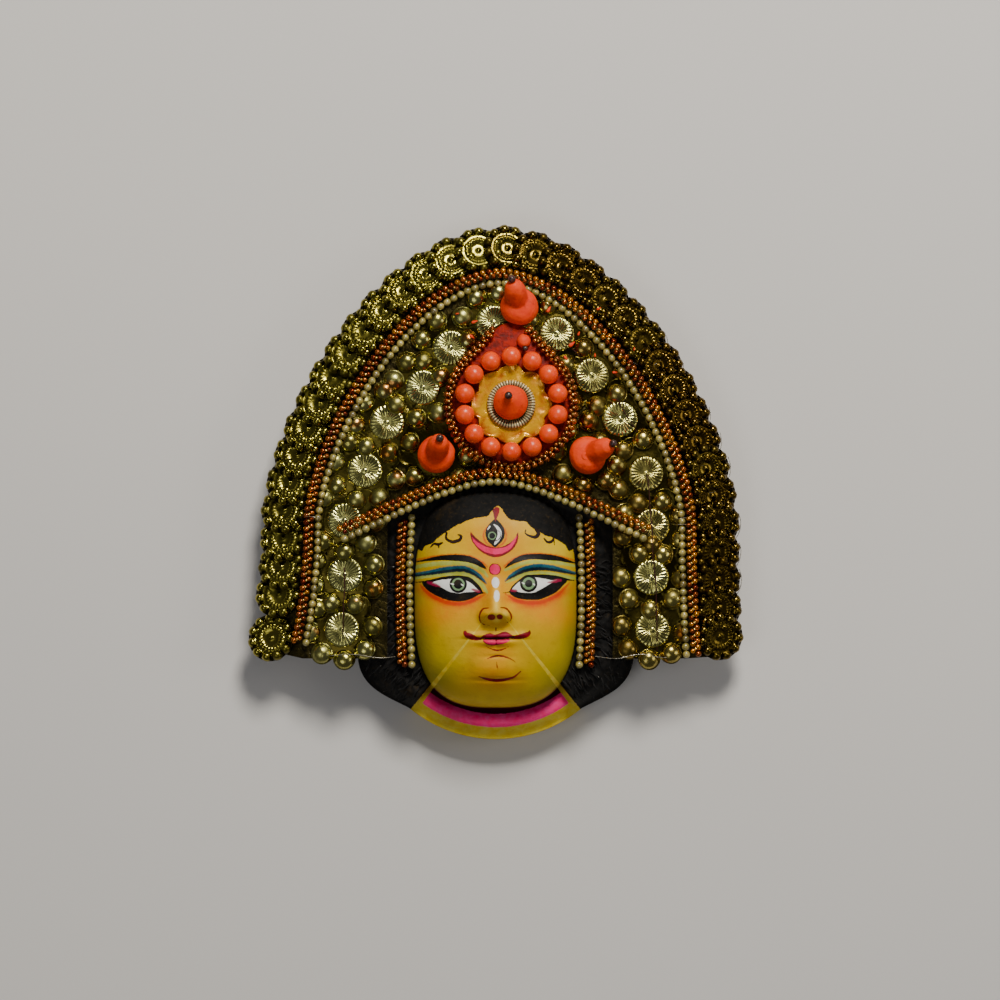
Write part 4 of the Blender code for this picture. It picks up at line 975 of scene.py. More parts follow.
dents = node(tree, "TexVoronoi", {"Vector": place, "Scale": scale}, feature="SMOOTH_F1").outputs["Distance"]
crease = skin_noise(1, Detail=4.0, Distortion=1.5)
tarnish = skin_noise(0.25, Detail=5.0, Roughness=0.65)
specks = skin_noise(2.4, Detail=2.0)
tree.links.new(math_node(tree, "MULTIPLY_ADD", dents, 0.4, crease), end.inputs["Height"])
tree.links.new(ramp(tree, tarnish, 0.42, 0.68), end.inputs["Tarnish"])
tree.links.new(ramp(tree, specks, 0.56, 0.70), end.inputs["Specks"])


def foil(name, bright, dull, dark, roughness=0.27, lacquer=None):
    """Stamped foil: bright and dull metal by its tint, dark tarnish in patches, and the hollows darkened by
    painted shade with some grime.
    """
    made, tree, shader = new_material(name, Metallic=1.0, Specular_IOR_Level=0.5)
    skin = placed(tree, foil_skin, Scale=260.0)
    tarnish = skin.outputs["Tarnish"]
    colour = mixed(tree, stored(tree, "tint"), bright, dull)
    if lacquer:
        colour = stained(tree, colour, 0.75, ramp(tree, noise(tree, 75.0, 3.0), 0.56, 0.66), lacquer)
    colour = stained(tree, colour, 0.6, tarnish, dark)
    colour = stained(tree, colour, 0.3, skin.outputs["Specks"], dark)
    # Painted shade, with some grime, darkens the hollows and the backs.
    colour = stained(tree, colour, 0.92, stored(tree, "hollow"), dark)
    feed(shader, Base_Color=colour, Roughness=ramp(tree, tarnish, 0.0, 1.0, roughness, roughness + 0.2),
         Normal=bump_of(tree, skin.outputs["Height"], 0.16))
    return made


band_foil = foil("band_foil", srgb(150, 140, 56), srgb(96, 72, 26), srgb(20, 15, 3), 0.18)
band.data.materials.append(band_foil)
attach(band, "root")
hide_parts("disc_band")

# Each flower of the crown's panels is a fluted foil cup with eight domed foil sequins sewn round it.
# They are sewn to the board from the middle outwards, tucked under the pearls and the teardrop.
LEFT_FLOWERS = ((-0.8, 80), (-22.3, 67.4), (-36, 47.5), (-54, 30), (-65, 6), (-75, -19), (-75, -46),
                (-76.5, -73.5), (-29, 13.8))
RIGHT_FLOWERS = ((30.9, 74.3), (48.3, 53.6), (62.5, 31.9), (75.5, 4.5), (78.3, -21.8), (78, -47.3),
                 (78.7, -73.5), (46, 13.5))
PETALS, PETAL_R, PETAL_RING_R, STAR_R, RIDGES = 8, 5.5, 15.4, 9.0, 26
PETAL_TALL, PETAL_LIFT, PETAL_LEAN, STAR_LIFT, LAYER_STEP = 3.3, 0.65, -6.0, 0.75, 0.14
PETAL_TUCK, STAR_ROOM, PETAL_ROOM = 2.4, 9.5, 6.9
PEARLS_CLEAR, BROW_CLEAR, TEARDROP_CLEAR, PANEL_FOOT_Y, BROW_REACH = 1.5, 2.5, 0.5, -95.0, 0.62
MEDAL_X, MEDAL_Y, MEDAL_R, MEDAL_POINT, MEDAL_POINT_SPREAD = 8.0, 38.6, 31.3, 10.0, 22.0
MEDAL_THICK = 4.6


def seat(x, y, lift=0.0):
    """A place on the board, turned to its slope."""
    d = 0.5
    slope_x = (board_z((x + d, y)) - board_z((x - d, y))) / (2 * d)
    slope_y = (board_z((x, y + d)) - board_z((x, y - d))) / (2 * d)
    up = Vector((-slope_x, -slope_y, 1)).normalized()
    right = Vector((1, 0, slope_x)).normalized()
    origin = Vector((x, y, board_z((x, y)))) + up * lift
    return Matrix.Translation(origin) @ Matrix((right, up.cross(right), up)).transposed().to_4x4()


def medal_radius(angle):
    angle = (angle + 180) % 360 - 180
    return MEDAL_R + MEDAL_POINT * math.exp(-(angle / MEDAL_POINT_SPREAD) ** 2)


arch_inside = arch_line(-110.0, -110.0)


def allowed(x, y):
    """How far a point lies inside the flowers' panel, less than zero outside it."""
    p = Vector((x, y))
    i = min(range(0, len(arch_inside), 2), key=lambda k: (arch_inside[k] - p).length_squared)
    along = (arch_inside[min(i + 1, len(arch_inside) - 1)] - arch_inside[max(i - 1, 0)]).normalized()
    gap = (arch_inside[i] - p).dot(Vector((-along.y, along.x))) - PEARLS_CLEAR
    if abs(x - ARCH_X) < BROW_REACH * ARCH_HALF_WIDTH:
        gap = min(gap, y - brow_line(x) - BROW_CLEAR)
    away = Vector((x - MEDAL_X, y - MEDAL_Y))
    gap = min(gap, away.length - medal_radius(math.degrees(math.atan2(-away.x, away.y))) - TEARDROP_CLEAR)
    return min(gap, y - PANEL_FOOT_Y)


def held_back(piece, spots):
    """Presses the foil that would run under the pearls or the teardrop back to the panel's edge."""
    base = Vector(to_table((0.0, 0.0, 0.0))) / MM
    for corner in piece.data.vertices:
        p = corner.co / MM - base
        if allowed(p.x, p.y) >= 0:
            continue
        hub = min(spots, key=lambda s: (s[0] - p.x) ** 2 + (s[1] - p.y) ** 2)
        low, high = 0.0, 1.0
        for _ in range(8):
            middle = (low + high) / 2
            if allowed(blend(p.x, hub[0], middle), blend(p.y, hub[1], middle)) < 0:
                low = middle
            else:
                high = middle
        x, y = blend(p.x, hub[0], high), blend(p.y, hub[1], high)
        corner.co = (Vector((x, y, p.z + board_z((x, y)) - board_z((p.x, p.y)))) + base) * MM
    piece.data.update()


def ridge(depth, base):
    return lambda angle: base + depth * (1.6 * np.abs(np.cos(RIDGES / 2 * angle)) - 1)


def leaf_edge(angle):
    return PETAL_RING_R - 0.4 + 5.2 * np.abs(np.cos(PETALS / 2 * angle)) ** 0.7


for side, spots, seed in (("left", LEFT_FLOWERS, 21), ("right", RIGHT_FLOWERS, 22)):
    rng = np.random.default_rng(seed)
    petal = closed_disc("petal", 24, [
        (0.0, PETAL_TALL), (1.0, 3.22), (1.9, 3.0), (2.8, 2.62), (3.6, 2.08), (4.2, 1.5), (4.6, 0.9),
        (4.85, 0.4), (5.0, 0.15), (PETAL_R, 0.1)], 0.1, 1)
    hubs = [seat(x, y, GAP + LAYER_STEP * (i % 3)) @ about("Z", rng.uniform(0, 45))
            for i, (x, y) in enumerate(spots)]
    places, tints = [], []
    for i, hub in enumerate(hubs):
        for k in range(PETALS):
            reach = PETAL_RING_R + rng.uniform(-0.5, 0.5)
            place = hub @ Matrix.Rotation(2 * math.pi * k / PETALS, 4, "Z") @ at(reach, 0, PETAL_LIFT)
            place = place @ about("Y", PETAL_LEAN + rng.uniform(-5, 5)) @ about("X", rng.uniform(-6, 6))
            p = place.translation.xy
            others = [math.dist(p, spot) for j, spot in enumerate(spots) if j != i]
            taken = [math.dist(p, other.translation.xy) for other in places]
            if allowed(p.x, p.y) < -PETAL_TUCK or min(others) < STAR_ROOM:
                continue
            if taken and min(taken) < PETAL_ROOM:
                continue
            places.append(place)
            tints.append(rng.uniform(0, 1))
    petals = copies(petal, "petals_" + side, places, tints)
    leaf = closed_disc("leaf", 96, [
        (0.0, 0.55), (6.0, 0.55), (9.0, 0.5), (10.0, 0.3), (12.5, 0.25), (15.0, 0.45),
        (lambda a: leaf_edge(a) - 1.6, 0.55), (lambda a: leaf_edge(a) - 0.5, 0.95), (leaf_edge, 1.0)],
        0.12, 2)
    leaves = copies(leaf, "leaves_" + side, hubs, [rng.uniform(0, 1) for _ in spots])
    star = closed_disc("star", RIDGES * 4, [
        (0.0, 0.95), (0.6, 0.9), (1.0, 0.55), (1.5, 0.5), (2.4, ridge(0.12, 0.7)), (3.2, ridge(0.26, 0.85)),
        (5.2, ridge(0.38, 1.0)), (7.2, ridge(0.42, 0.95)), (8.2, ridge(0.3, 0.75)), (STAR_R, 0.3)], 0.1, 1)
    stars = copies(star, "stars_" + side, [hub @ at(0, 0, STAR_LIFT) for hub in hubs],
                   [rng.uniform(0, 1) for _ in spots])
    bright, dull, dark = srgb(204, 202, 122), srgb(156, 146, 70), srgb(40, 36, 10)
    # The right panel's foil is painted darker: painted shade, as it gives back less light.
    if side == "right":
        bright, dull, dark = srgb(196, 182, 98), srgb(138, 110, 48), srgb(34, 27, 8)
    # The leaf foil's dark colours are partly painted shade, for the shade in the gaps between the petals.
    finishes = ((petals, foil("petal_foil_" + side, bright, dull, dark, 0.22, srgb(160, 78, 20))),
                (leaves, foil("leaf_foil_" + side, srgb(58, 50, 16), srgb(98, 88, 36), dark, 0.22)),
                (stars, foil("star_foil_" + side, srgb(216, 210, 122), bright, dark, 0.14)))
    for piece, finish in finishes:
        held_back(piece, spots)
        piece.data.materials.append(finish)
        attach(piece, "root")
        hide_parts("flowers_" + side)

# Strings of 4 mm pearls run along the arch, over the brow and down beside the face. They are glass
# dipped in pearl coat, knotted on cotton and sewn to the card, so each lies a little unevenly.
PEARL_R, PEARL_PITCH, STRING_PITCH, BROW_LIFT = 1.9, 3.9, 4.75, 4.6
COPPER_R, COPPER_LIFT, COPPER_PITCH = 2.2, 2.6, 3.3
OUTER_SIZE, INNER_SIZE, SEED_SIZE = 0.77, 0.62, 0.33
BROW_ENDS = (-75, 74)
SIDE_STRING_X, SIDE_STRING_BOW, SIDE_FOOT_Y = 43.0, 1.2, -91.0
PEARLS_TOP_Y, COPPER_TOP_Y = -17.5, -19.5


def brow_path(offset):
    return offset_line([Vector((x, brow_line(x))) for x in np.linspace(*BROW_ENDS, 90)], offset)


def side_path(side, out, top_y):
    """Down beside the face, bowed in a little towards its middle."""
    path = []
    for t in np.linspace(0, 1, 40):
        reach = SIDE_STRING_X + out - SIDE_STRING_BOW * (2 * t - 1) ** 2
        path.append(Vector((NOSE_PLACE[0] + side * reach, blend(top_y, SIDE_FOOT_Y, t))))
    return path


def along_string(path, pitch, height, sideways=0.0, shift=0.0, jitter=0.12, seed=1):
    """Places for beads along a string; height is a function of the place."""
    rng = np.random.default_rng(seed)
    found = []
    for p, along in even_points(path, pitch):
        aside = sideways + rng.uniform(-jitter, jitter)
        p = p + along * pitch * shift + Vector((-along.y, along.x)) * aside
        z = height(p) + rng.uniform(-jitter, jitter) * 0.6
        size = rng.uniform(0.96, 1.03)
        found.append(at(p.x, p.y, z) @ facing((along.x, along.y, 0)) @ Matrix.Scale(size, 4))
    return found


def over_board(lift):
    return lambda p: board_z(p) + lift


def beside_face(_):
    """The side strings lie at one height all the way down."""
    return FACE_SIDE_Z + 1.2 + PEARL_R


def beside_strings(side):
    return (side_path(side, 0.0, PEARLS_TOP_Y), side_path(side, STRING_PITCH, COPPER_TOP_Y),
            beside_face, beside_face)


strings = {
    "arch": (arch_line(LEFT_FOOT_Y, RIGHT_FOOT_Y), arch_line(LEFT_FOOT_Y, RIGHT_FOOT_Y, STRING_PITCH),
             over_board(GAP + PEARL_R), over_board(COPPER_LIFT + COPPER_R)),
    "brow": (brow_path(0.0), brow_path(STRING_PITCH),
             over_board(BROW_LIFT + PEARL_R), over_board(BROW_LIFT + COPPER_R)),
    "side_left": beside_strings(-1), "side_right": beside_strings(1)}
node_names = {
    "arch": ("arch_pearls", "arch_copper"), "brow": ("brow_pearls", "brow_copper"),
    "side_left": ("side_pearls_left", "side_copper_left"),
    "side_right": ("side_pearls_right", "side_copper_right")}

pearl_coat, tree, shader = new_material("pearl_coat", Specular_IOR_Level=0.8, Coat_Weight=1.0,
                                        Coat_Roughness=0.15, Coat_IOR=1.6)
clouds = noise(tree, 260.0, 2.0)
tinted = mixed(tree, ramp(tree, clouds, 0.35, 0.65), srgb(180, 162, 84), srgb(138, 128, 58))
tinted = mixed(tree, stored(tree, "tint"), tinted, srgb(84, 70, 32))
worn_coat = placed(tree, worn_patches, Scale=330.0, Low=0.60, High=0.70).outputs["Patches"]
feed(shader, Base_Color=stained(tree, tinted, 0.6, worn_coat, srgb(96, 82, 42)),
     Roughness=ramp(tree, clouds, 0.3, 0.7, 0.22, 0.38), Normal=bump_of(tree, clouds, 0.04))

# The copper trim is a bought braid: two staggered rows of small copper-washed beads, with gold seeds
# between them. It is sewn down beside each pearl string.
copper_wash, tree, shader = new_material("copper_wash", Specular_IOR_Level=0.5)
skin = placed(tree, foil_skin, Scale=520.0)
tint = stored(tree, "tint")
colour = mixed(tree, tint, srgb(116, 38, 8), srgb(206, 120, 48))
colour = mixed(tree, math_node(tree, "GREATER_THAN", tint, 1.5), colour, srgb(240, 200, 104))
colour = mixed(tree, math_node(tree, "GREATER_THAN", tint, 2.5), colour, srgb(208, 136, 36))
feed(shader, Base_Color=stained(tree, colour, 0.6, skin.outputs["Tarnish"], srgb(52, 14, 4)),
     Metallic=ramp(tree, skin.outputs["Tarnish"], 0.0, 1.0, 0.9, 0.6),
     Roughness=ramp(tree, skin.outputs["Specks"], 0.0, 1.0, 0.2, 0.3),
     Normal=bump_of(tree, skin.outputs["Height"], 0.08))
SEED_TINT, GOLD_TINT = 2.0, 3.0


def copper_bead():
    return bead("copper_bead", COPPER_R, 8, 6, 0.94)


def copper_braid(name, path, height, seed):
    """Both rows of the braid and its gold seeds, as one piece; its right half has more gold beads."""
    rng = np.random.default_rng(seed)
    outer = along_string(path, COPPER_PITCH, lambda p: height(p) - 0.35, 1.15, 0.0, 0.15, seed)
    inner = along_string(path, COPPER_PITCH, lambda p: height(p) + 0.1, -1.35, 0.5, 0.15, seed + 1)
    seeds = along_string(path, COPPER_PITCH, lambda p: height(p) + 1.1, -0.2, 0.25, 0.3, seed + 2)
    outer = [m @ Matrix.Scale(OUTER_SIZE, 4) for m in outer]
    inner = [m @ Matrix.Scale(INNER_SIZE, 4) for m in inner[:-1]]
    seeds = [m @ Matrix.Scale(SEED_SIZE, 4) for m in seeds[:-1]]
    tints = []
    for m in outer + inner:
        gold_share = 0.4 if m.translation.x > 0 else 0.12
        tints.append(GOLD_TINT if rng.random() < gold_share else rng.random())
    return copies(copper_bead(), name, outer + inner + seeds, tints + [SEED_TINT] * len(seeds))


for i, (name, (pearls, copper, pearl_height, copper_height)) in enumerate(strings.items()):
    pearl_node, copper_node = node_names[name]
    places = along_string(pearls, PEARL_PITCH, pearl_height, seed=30 + i)
    shades = np.random.default_rng(90 + i).uniform(0, 0.9, len(places)) ** 2
    string = copies(bead("pearl", PEARL_R * 1.03, 10, 7, 1.0), name + "_pearl_string", places, list(shades))
    string.data.materials.append(pearl_coat)
    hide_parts(pearl_node)
    braid = copper_braid(name + "_copper_braid", copper, copper_height, 50 + 3 * i)
    braid.data.materials.append(copper_wash)
    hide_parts(copper_node)
    for piece in (string, braid):
        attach(piece, "root")

# The teardrop over the brow is a thick card, painted orange-red and rounded at its edge, with a
# braid round it that is open at the point.
MEDAL_ROUNDING, BRAID_START, BRAID_END = 1.1, 14, 346
medal = seat(MEDAL_X, MEDAL_Y, GAP)


def teardrop_point(angle):
    r, a = medal_radius(angle), math.radians(angle)
    return Vector((-r * math.sin(a), r * math.cos(a)))


def on_medal(x, y, z):
    return medal @ at(x, y, z)


select_only()
bpy.ops.mesh.primitive_circle_add(vertices=120, radius=1.0, fill_type="NGON")
teardrop = bpy.context.object
for corner in teardrop.data.vertices:
    p = teardrop_point(math.degrees(math.atan2(-corner.co.x, corner.co.y)))
    corner.co = (p.x * MM, p.y * MM, 0)
in_edit_mode(bpy.ops.mesh.extrude_region_move, TRANSFORM_OT_translate={"value": (0, 0, MEDAL_THICK * MM)})
in_edit_mode(bpy.ops.mesh.normals_make_consistent, inside=False)
rounding = teardrop.modifiers.new("rounding", "BEVEL")
rounding.width, rounding.segments, rounding.limit_method = MEDAL_ROUNDING * MM, 3, "ANGLE"
bpy.ops.object.modifier_apply(modifier="rounding")
bpy.ops.object.shade_smooth_by_angle(angle=math.radians(40))
teardrop = copies(teardrop, "teardrop_board", [medal])
red_card, tree, shader = new_material("red_card", Specular_IOR_Level=0.15)
brushed = noise(tree, 320.0, 5.0, 0.6, 0.5)
worn_red = placed(tree, worn_patches, Scale=120.0, Low=0.52, High=0.66).outputs["Patches"]
colour = mixed(tree, ramp(tree, brushed, 0.3, 0.7), srgb(104, 8, 1), srgb(170, 30, 2))
feed(shader, Base_Color=stained(tree, colour, 0.6, worn_red, srgb(60, 6, 2)),
     Roughness=ramp(tree, brushed, 0.3, 0.7, 0.42, 0.62), Normal=bump_of(tree, brushed, 0.3))
teardrop.data.materials.append(red_card)
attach(teardrop, "root")
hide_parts("medallion_board")

chain = [teardrop_point(float(t)) for t in np.linspace(BRAID_START, BRAID_END, 160)]
rng = np.random.default_rng(71)
outer, inner, seeds = [], [], []
for row, offset, rise, size in ((outer, 1.1, -0.5, OUTER_SIZE), (inner, -1.4, 0.0, INNER_SIZE),
                                (seeds, -0.2, 1.0, SEED_SIZE)):
    for p, along in even_points(chain, COPPER_PITCH):
        shift = 0.5 * COPPER_PITCH if row is inner else 0
        q = p + p.normalized() * (offset + rng.uniform(-0.15, 0.15)) + along * shift
        row.append(on_medal(q.x, q.y, MEDAL_THICK + COPPER_R + rise) @ facing((along.x, along.y, 0))
                   @ Matrix.Scale(size * rng.uniform(0.96, 1.03), 4))
tints = list(rng.uniform(0, 1, len(outer) + len(inner))) + [SEED_TINT] * len(seeds)
braid = copies(copper_bead(), "teardrop_braid", outer + inner + seeds, tints)
braid.data.materials.append(copper_wash)
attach(braid, "root")
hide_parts("medallion_copper")

# On the teardrop lies a crumpled yellow foil star, and on that a ring of gold foil pressed in fine
# radial flutes, like a sweet's paper cup, which holds the orange cone.
PLATE_REACH, PLATE_WAIST, PLATE_POINTS, PLATE_THICK, PLATE_FLAT = 20.2, 17.6, 8, 0.9, 0.62
FLUTE_COUNT, FLUTE_IN, FLUTE_CREST, FLUTE_OUT, FLUTE_TALL = 50, 8.0, 10.6, 12.0, 2.6
CUP_FLOOR = MEDAL_THICK + PLATE_THICK + 2 * GAP


def plate_edge(angle):
    points = np.abs(np.cos(angle * PLATE_POINTS / 2))
    return PLATE_WAIST + (PLATE_REACH - PLATE_WAIST) * points + 0.3 * np.cos(13 * angle)


def plate_rows():
    """The foil's rows from its middle out; it is crumpled only outside the cup."""
    for share in np.linspace(0, 1, 26):
        def crumple(angle, share=share):
            x, y = share * PLATE_REACH * np.cos(angle), share * PLATE_REACH * np.sin(angle)
            rise = max(0.0, share - PLATE_FLAT) / (1 - PLATE_FLAT)
            folds = 0.5 + 0.9 * lumps(x, y, 3.4, 17) + 0.6 * np.abs(lumps(x, y, 1.9, 18))
            return PLATE_THICK + rise * folds
        yield lambda angle, share=share: share * plate_edge(angle), crumple


plate = closed_disc("foil_plate", 96, list(plate_rows()), 0.0, 3)
plate = copies(plate, "foil_plate", [on_medal(0, 0, MEDAL_THICK + GAP)])
angle = wheel(FLUTE_COUNT * 4)
wave = np.cos(FLUTE_COUNT * angle)
rows, grime_and_shade_rows = [], []
for radius, height, depth in (
        (FLUTE_IN, 0.0, 0.0), (FLUTE_IN, 0.5, 0.0), (FLUTE_IN + 0.7, 1.0, 0.25), (FLUTE_IN + 1.7, 1.9, 0.38),
        (FLUTE_CREST, FLUTE_TALL, 0.36), (FLUTE_OUT - 0.6, 2.3, 0.3), (FLUTE_OUT, 1.7, 0.0),
        (FLUTE_OUT, 0.0, 0.0), (FLUTE_IN, 0.0, 0.0)):
    r = radius + (0.18 * wave if radius == FLUTE_OUT and height else 0.0)
    rows.append(np.stack((r * np.cos(angle), r * np.sin(angle), height + depth * wave), axis=1))
    # The grooves between the flutes get near-black painted shade.
    grime_and_shade_rows.append(np.clip(0.6 - 1.6 * wave, 0, 1.1) if height > 0.5 else np.ones_like(wave))
cup_ring = rolled("fluted_cup", np.array(rows), {"hollow": np.array(grime_and_shade_rows)})
cup_ring = copies(cup_ring, "fluted_cup", [on_medal(0, 0, CUP_FLOOR)], [0.2])
plate_foil = foil("plate_foil", srgb(236, 178, 0), srgb(222, 138, 0), srgb(176, 70, 0), 0.2)
cup_gold = foil("cup_gold", srgb(255, 240, 180), srgb(250, 214, 120), srgb(2, 1, 0), 0.25)
for piece, finish, shine, replaced, slot_name in (
        (plate, plate_foil, 0.35, "medallion_plate", "amber"),
        (cup_ring, cup_gold, 0.2, "fluted_ring", "gold_foil")):
    finish.node_tree.nodes["Principled BSDF"].inputs["Metallic"].default_value = shine
    piece.data.materials.append(finish)
    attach(piece, "root")
    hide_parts(replaced)

# The cone in the cup, the bud over it and the three finials are moulded of paper pulp and clay, and
# painted matt orange-red. Each tip is a small dark bead, glued on.
CONE_R, CONE_TALL, CONE_LEAN, BUD_LEAN = 8.6, 12.0, (-1.5, 3.2), (0.3, -0.6)
CONE_FLOOR, CONE_BRIM = CUP_FLOOR + 0.5 + GAP, FLUTE_TALL + 0.6
BUD_X, BUD_Y = 14.3, 70.6
TIP_R, BUD_TIP_R, FINIAL_R, FINIAL_DOME, BULB_R, BULB_LENGTH = 2.0, 1.5, 9.4, 7.4, 5.0, 17.0
# Each finial's place, how high it sits, and how far and which way its bulb leans, in degrees.
FINIALS = {"top": (12, 87.2, 6.2, 42, 109), "left": (-29, 13.8, 4.6, 24, 68),
           "right": (46, 13.5, 4.6, 40, 24)}
orange_pulp, tree, shader = new_material("orange_pulp", Specular_IOR_Level=0.3)
grain = noise(tree, 700.0, 5.0, 0.65)
broad = noise(tree, 110.0, 4.0, 0.6, 0.6)
worn_orange = placed(tree, worn_patches, Scale=150.0, Low=0.56, High=0.70)
colour = mixed(tree, ramp(tree, broad, 0.3, 0.7), srgb(230, 52, 0), srgb(246, 72, 0))
colour = stained(tree, colour, 0.45, worn_orange.outputs["Patches"], srgb(150, 18, 2))
colour = stained(tree, colour, 0.3, worn_orange.outputs["Flecks"], srgb(250, 92, 10))
feed(shader, Base_Color=colour, Roughness=ramp(tree, grain, 0.3, 0.7, 0.5, 0.72),
     Normal=bump_of(tree, math_node(tree, "MULTIPLY_ADD", grain, 0.35, broad), 0.5))


def turned(name, profile, around=40, lean=(0.0, 0.0), crease=0.0, seed=1):
    """A moulded round form from a profile of radii and heights, base first, leaning as it rises."""
    top = max(z for _, z in profile)
    angle = wheel(around)
    rows = []
    for r, z in reversed(profile):
        level = np.full_like(angle, z)
        dent = 1 + crease * lumps(angle * 1.9 + 7, level * 0.55, 1.0, seed) * min(1.0, r)
        t = (z / top) ** 1.3
        x, y = r * np.cos(angle) * dent + lean[0] * t, r * np.sin(angle) * dent + lean[1] * t
        rows.append(np.stack((x, y, level), axis=1))
    rows.append(np.stack((0 * angle, 0 * angle, np.full_like(angle, profile[0][1])), axis=1))
    return rolled(name, np.array(rows))


def widths(radius, *profile):
    """A profile whose radii are given as shares of one radius."""
    return [(share * radius, z) for share, z in profile]


cone = turned("cup_cone", widths(
    CONE_R, (0.9, 0.1), (0.9, CONE_BRIM - 0.4), (0.97, CONE_BRIM), (1, CONE_BRIM + 0.7), (0.97, 4.8),
    (0.88, 6.2), (0.74, 7.6), (0.57, 8.9), (0.40, 10.2), (0.24, 11.4), (0, CONE_TALL)),
    48, CONE_LEAN, 0.035, 31)
cone = copies(cone, "cup_cone", [on_medal(0, 0, CONE_FLOOR)])
bud_place = on_medal(BUD_X - MEDAL_X, BUD_Y - MEDAL_Y, MEDAL_THICK + GAP)
bud = turned("small_bud", [(3.2, 0), (3.5, 0.7), (3.3, 2.0), (2.6, 3.1), (1.5, 3.8), (0, 4.0)],
             32, BUD_LEAN, 0.05, 33)
bud = copies(bud, "small_bud", [bud_place])
for piece, replaced in ((cone, "medallion_cone"), (bud, "medallion_bud")):
    piece.data.materials.append(orange_pulp)
    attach(piece, "root")
    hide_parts(replaced)

tips = {"bud": bud_place @ Vector((0.6, -4.1, 3.5))}
for word, (x, y, lift, lean, bearing) in FINIALS.items():
    base = seat(x, y, lift)
    tilt = base @ at(0, 0, 1.0) @ about("Z", bearing) @ about("Y", lean)
    dome = turned("dome", widths(
        FINIAL_R, (0.94, 0), (1, 0.9), (1, 2.0), (0.95, 3.6), (0.82, 5.3), (0.6, 6.6), (0.3, 7.2),
        (0, FINIAL_DOME)), 48, (0, 0), 0.04, len(word))
    dome = copies(dome, "finial_dome", [base])
    bulb = turned("bulb", widths(
        BULB_R, (0.9, 0), (1.06, 3.5), (1.12, 7.5), (1.1, 11.0), (1, 13.3), (0.8, 15.6), (0.5, 17.2),
        (0, BULB_LENGTH + 0.9)), 40, (0, 0), 0.05, 40 + len(word))
    bulb = copies(bulb, "finial_bulb", [tilt])
    select_only(dome, bulb)
    bpy.ops.object.join()
    dome.name = "moulded_finial_" + word
    merged = dome.modifiers.new("merged", "REMESH")
    merged.mode, merged.voxel_size, merged.use_smooth_shade = "VOXEL", 0.45 * MM, True
    bpy.ops.object.modifier_apply(modifier="merged")
    soft = dome.modifiers.new("soft", "SMOOTH")
    soft.factor, soft.iterations = 0.5, 5
    bpy.ops.object.modifier_apply(modifier="soft")
    bpy.ops.object.shade_smooth()
    dome.data.materials.clear()
    dome.data.materials.append(orange_pulp)
    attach(dome, "root")
    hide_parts("finial_" + word)
    tips[word] = tilt @ Vector((0, 0, BULB_LENGTH + GAP + TIP_R))

# The right finial shows the small rolled eye where its pulp was closed.
x, y, lift = FINIALS["right"][:3]
eye = closed_disc("rolled_eye", 28, [(0.0, -0.1), (0.45, 0.0), (0.8, 0.5), (1.15, 0.15), (1.5, 0.45),
                                     (1.9, 0.2), (2.2, -0.2)], 0.5, 1)
eye = copies(eye, "rolled_eye", [
    seat(x, y, lift) @ at(-1.6, -0.9, FINIAL_DOME - 0.25) @ Matrix.Rotation(0.14, 4, "X")])
eye.data.materials.append(orange_pulp)
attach(eye, "root")

dark_glass, tree, shader = new_material("dark_glass", Specular_IOR_Level=0.5, Coat_Weight=0.3,
                                        Coat_Roughness=0.15)
dusty = noise(tree, 900.0, 3.0)
feed(shader, Base_Color=mixed(tree, ramp(tree, dusty, 0.45, 0.75), srgb(34, 12, 8), srgb(112, 52, 34)),
     Roughness=ramp(tree, dusty, 0.3, 0.7, 0.25, 0.6), Normal=bump_of(tree, dusty, 0.06))
tips["cone"] = on_medal(0, 0, CONE_FLOOR) @ Vector((CONE_LEAN[0] * 1.1, CONE_LEAN[1] * 1.1,
                                                    CONE_TALL + GAP + 1.7))
for word, tip_at in tips.items():
    tip = bead("tip", BUD_TIP_R if word == "bud" else TIP_R, 16, 10, 0.9)
    tip = copies(tip, "dark_bead_" + word, [Matrix.Translation(tip_at)])
    tip.data.materials.append(dark_glass)
    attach(tip, "root")
    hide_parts({"bud": "bud_tip", "cone": "medallion_tip"}.get(word, "finial_tip_" + word))

# Fourteen 10 mm coral-orange beads are strung in a ring round the foil plate and glued to the board.
BEAD_R, BEAD_RING, BEADS = 4.9, 23.8, 14
coral, tree, shader = new_material("coral_bead", Specular_IOR_Level=0.5)
bloom = noise(tree, 190.0, 4.0)
flow = noise(tree, 600.0, 3.0)
colour = mixed(tree, ramp(tree, bloom, 0.3, 0.7), srgb(238, 64, 0), srgb(250, 82, 2))
worn_coral = placed(tree, worn_patches, Scale=260.0, Low=0.60, High=0.72).outputs["Patches"]
feed(shader, Base_Color=stained(tree, colour, 0.5, worn_coral, srgb(206, 34, 0)),
     Roughness=ramp(tree, flow, 0.3, 0.7, 0.26, 0.4), Normal=bump_of(tree, flow, 0.08))
shader.inputs["Subsurface Weight"].default_value = 0.15
shader.inputs["Subsurface Radius"].default_value = (0.003, 0.001, 0.0005)
for i in range(BEADS):
    a = math.radians(90 + 360 * i / BEADS)
    round_bead = turned("ring_bead", [
        (0, -4.6), (0.7, -4.75), (1.7, -4.6), (3.0, -3.85), (4.1, -2.6), (4.75, -1.1), (BEAD_R, 0.2),
        (4.7, 1.4), (4.1, 2.7), (3.0, 3.8), (1.8, 4.5), (1.0, 4.72), (0.75, 4.5), (0.6, 3.6), (0, 3.5)], 28)
    name = "orange_bead_%02d" % (i + 1)
    placed_bead = copies(round_bead, "ring_" + name, [
        on_medal(BEAD_RING * math.cos(a), BEAD_RING * math.sin(a), MEDAL_THICK + GAP + BEAD_R)
        @ Matrix.Rotation(a, 4, "Z") @ about("X", 90 + 12 * math.sin(5.1 * i))])
    placed_bead.data.materials.append(coral)
    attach(placed_bead, "root")
    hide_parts(name)

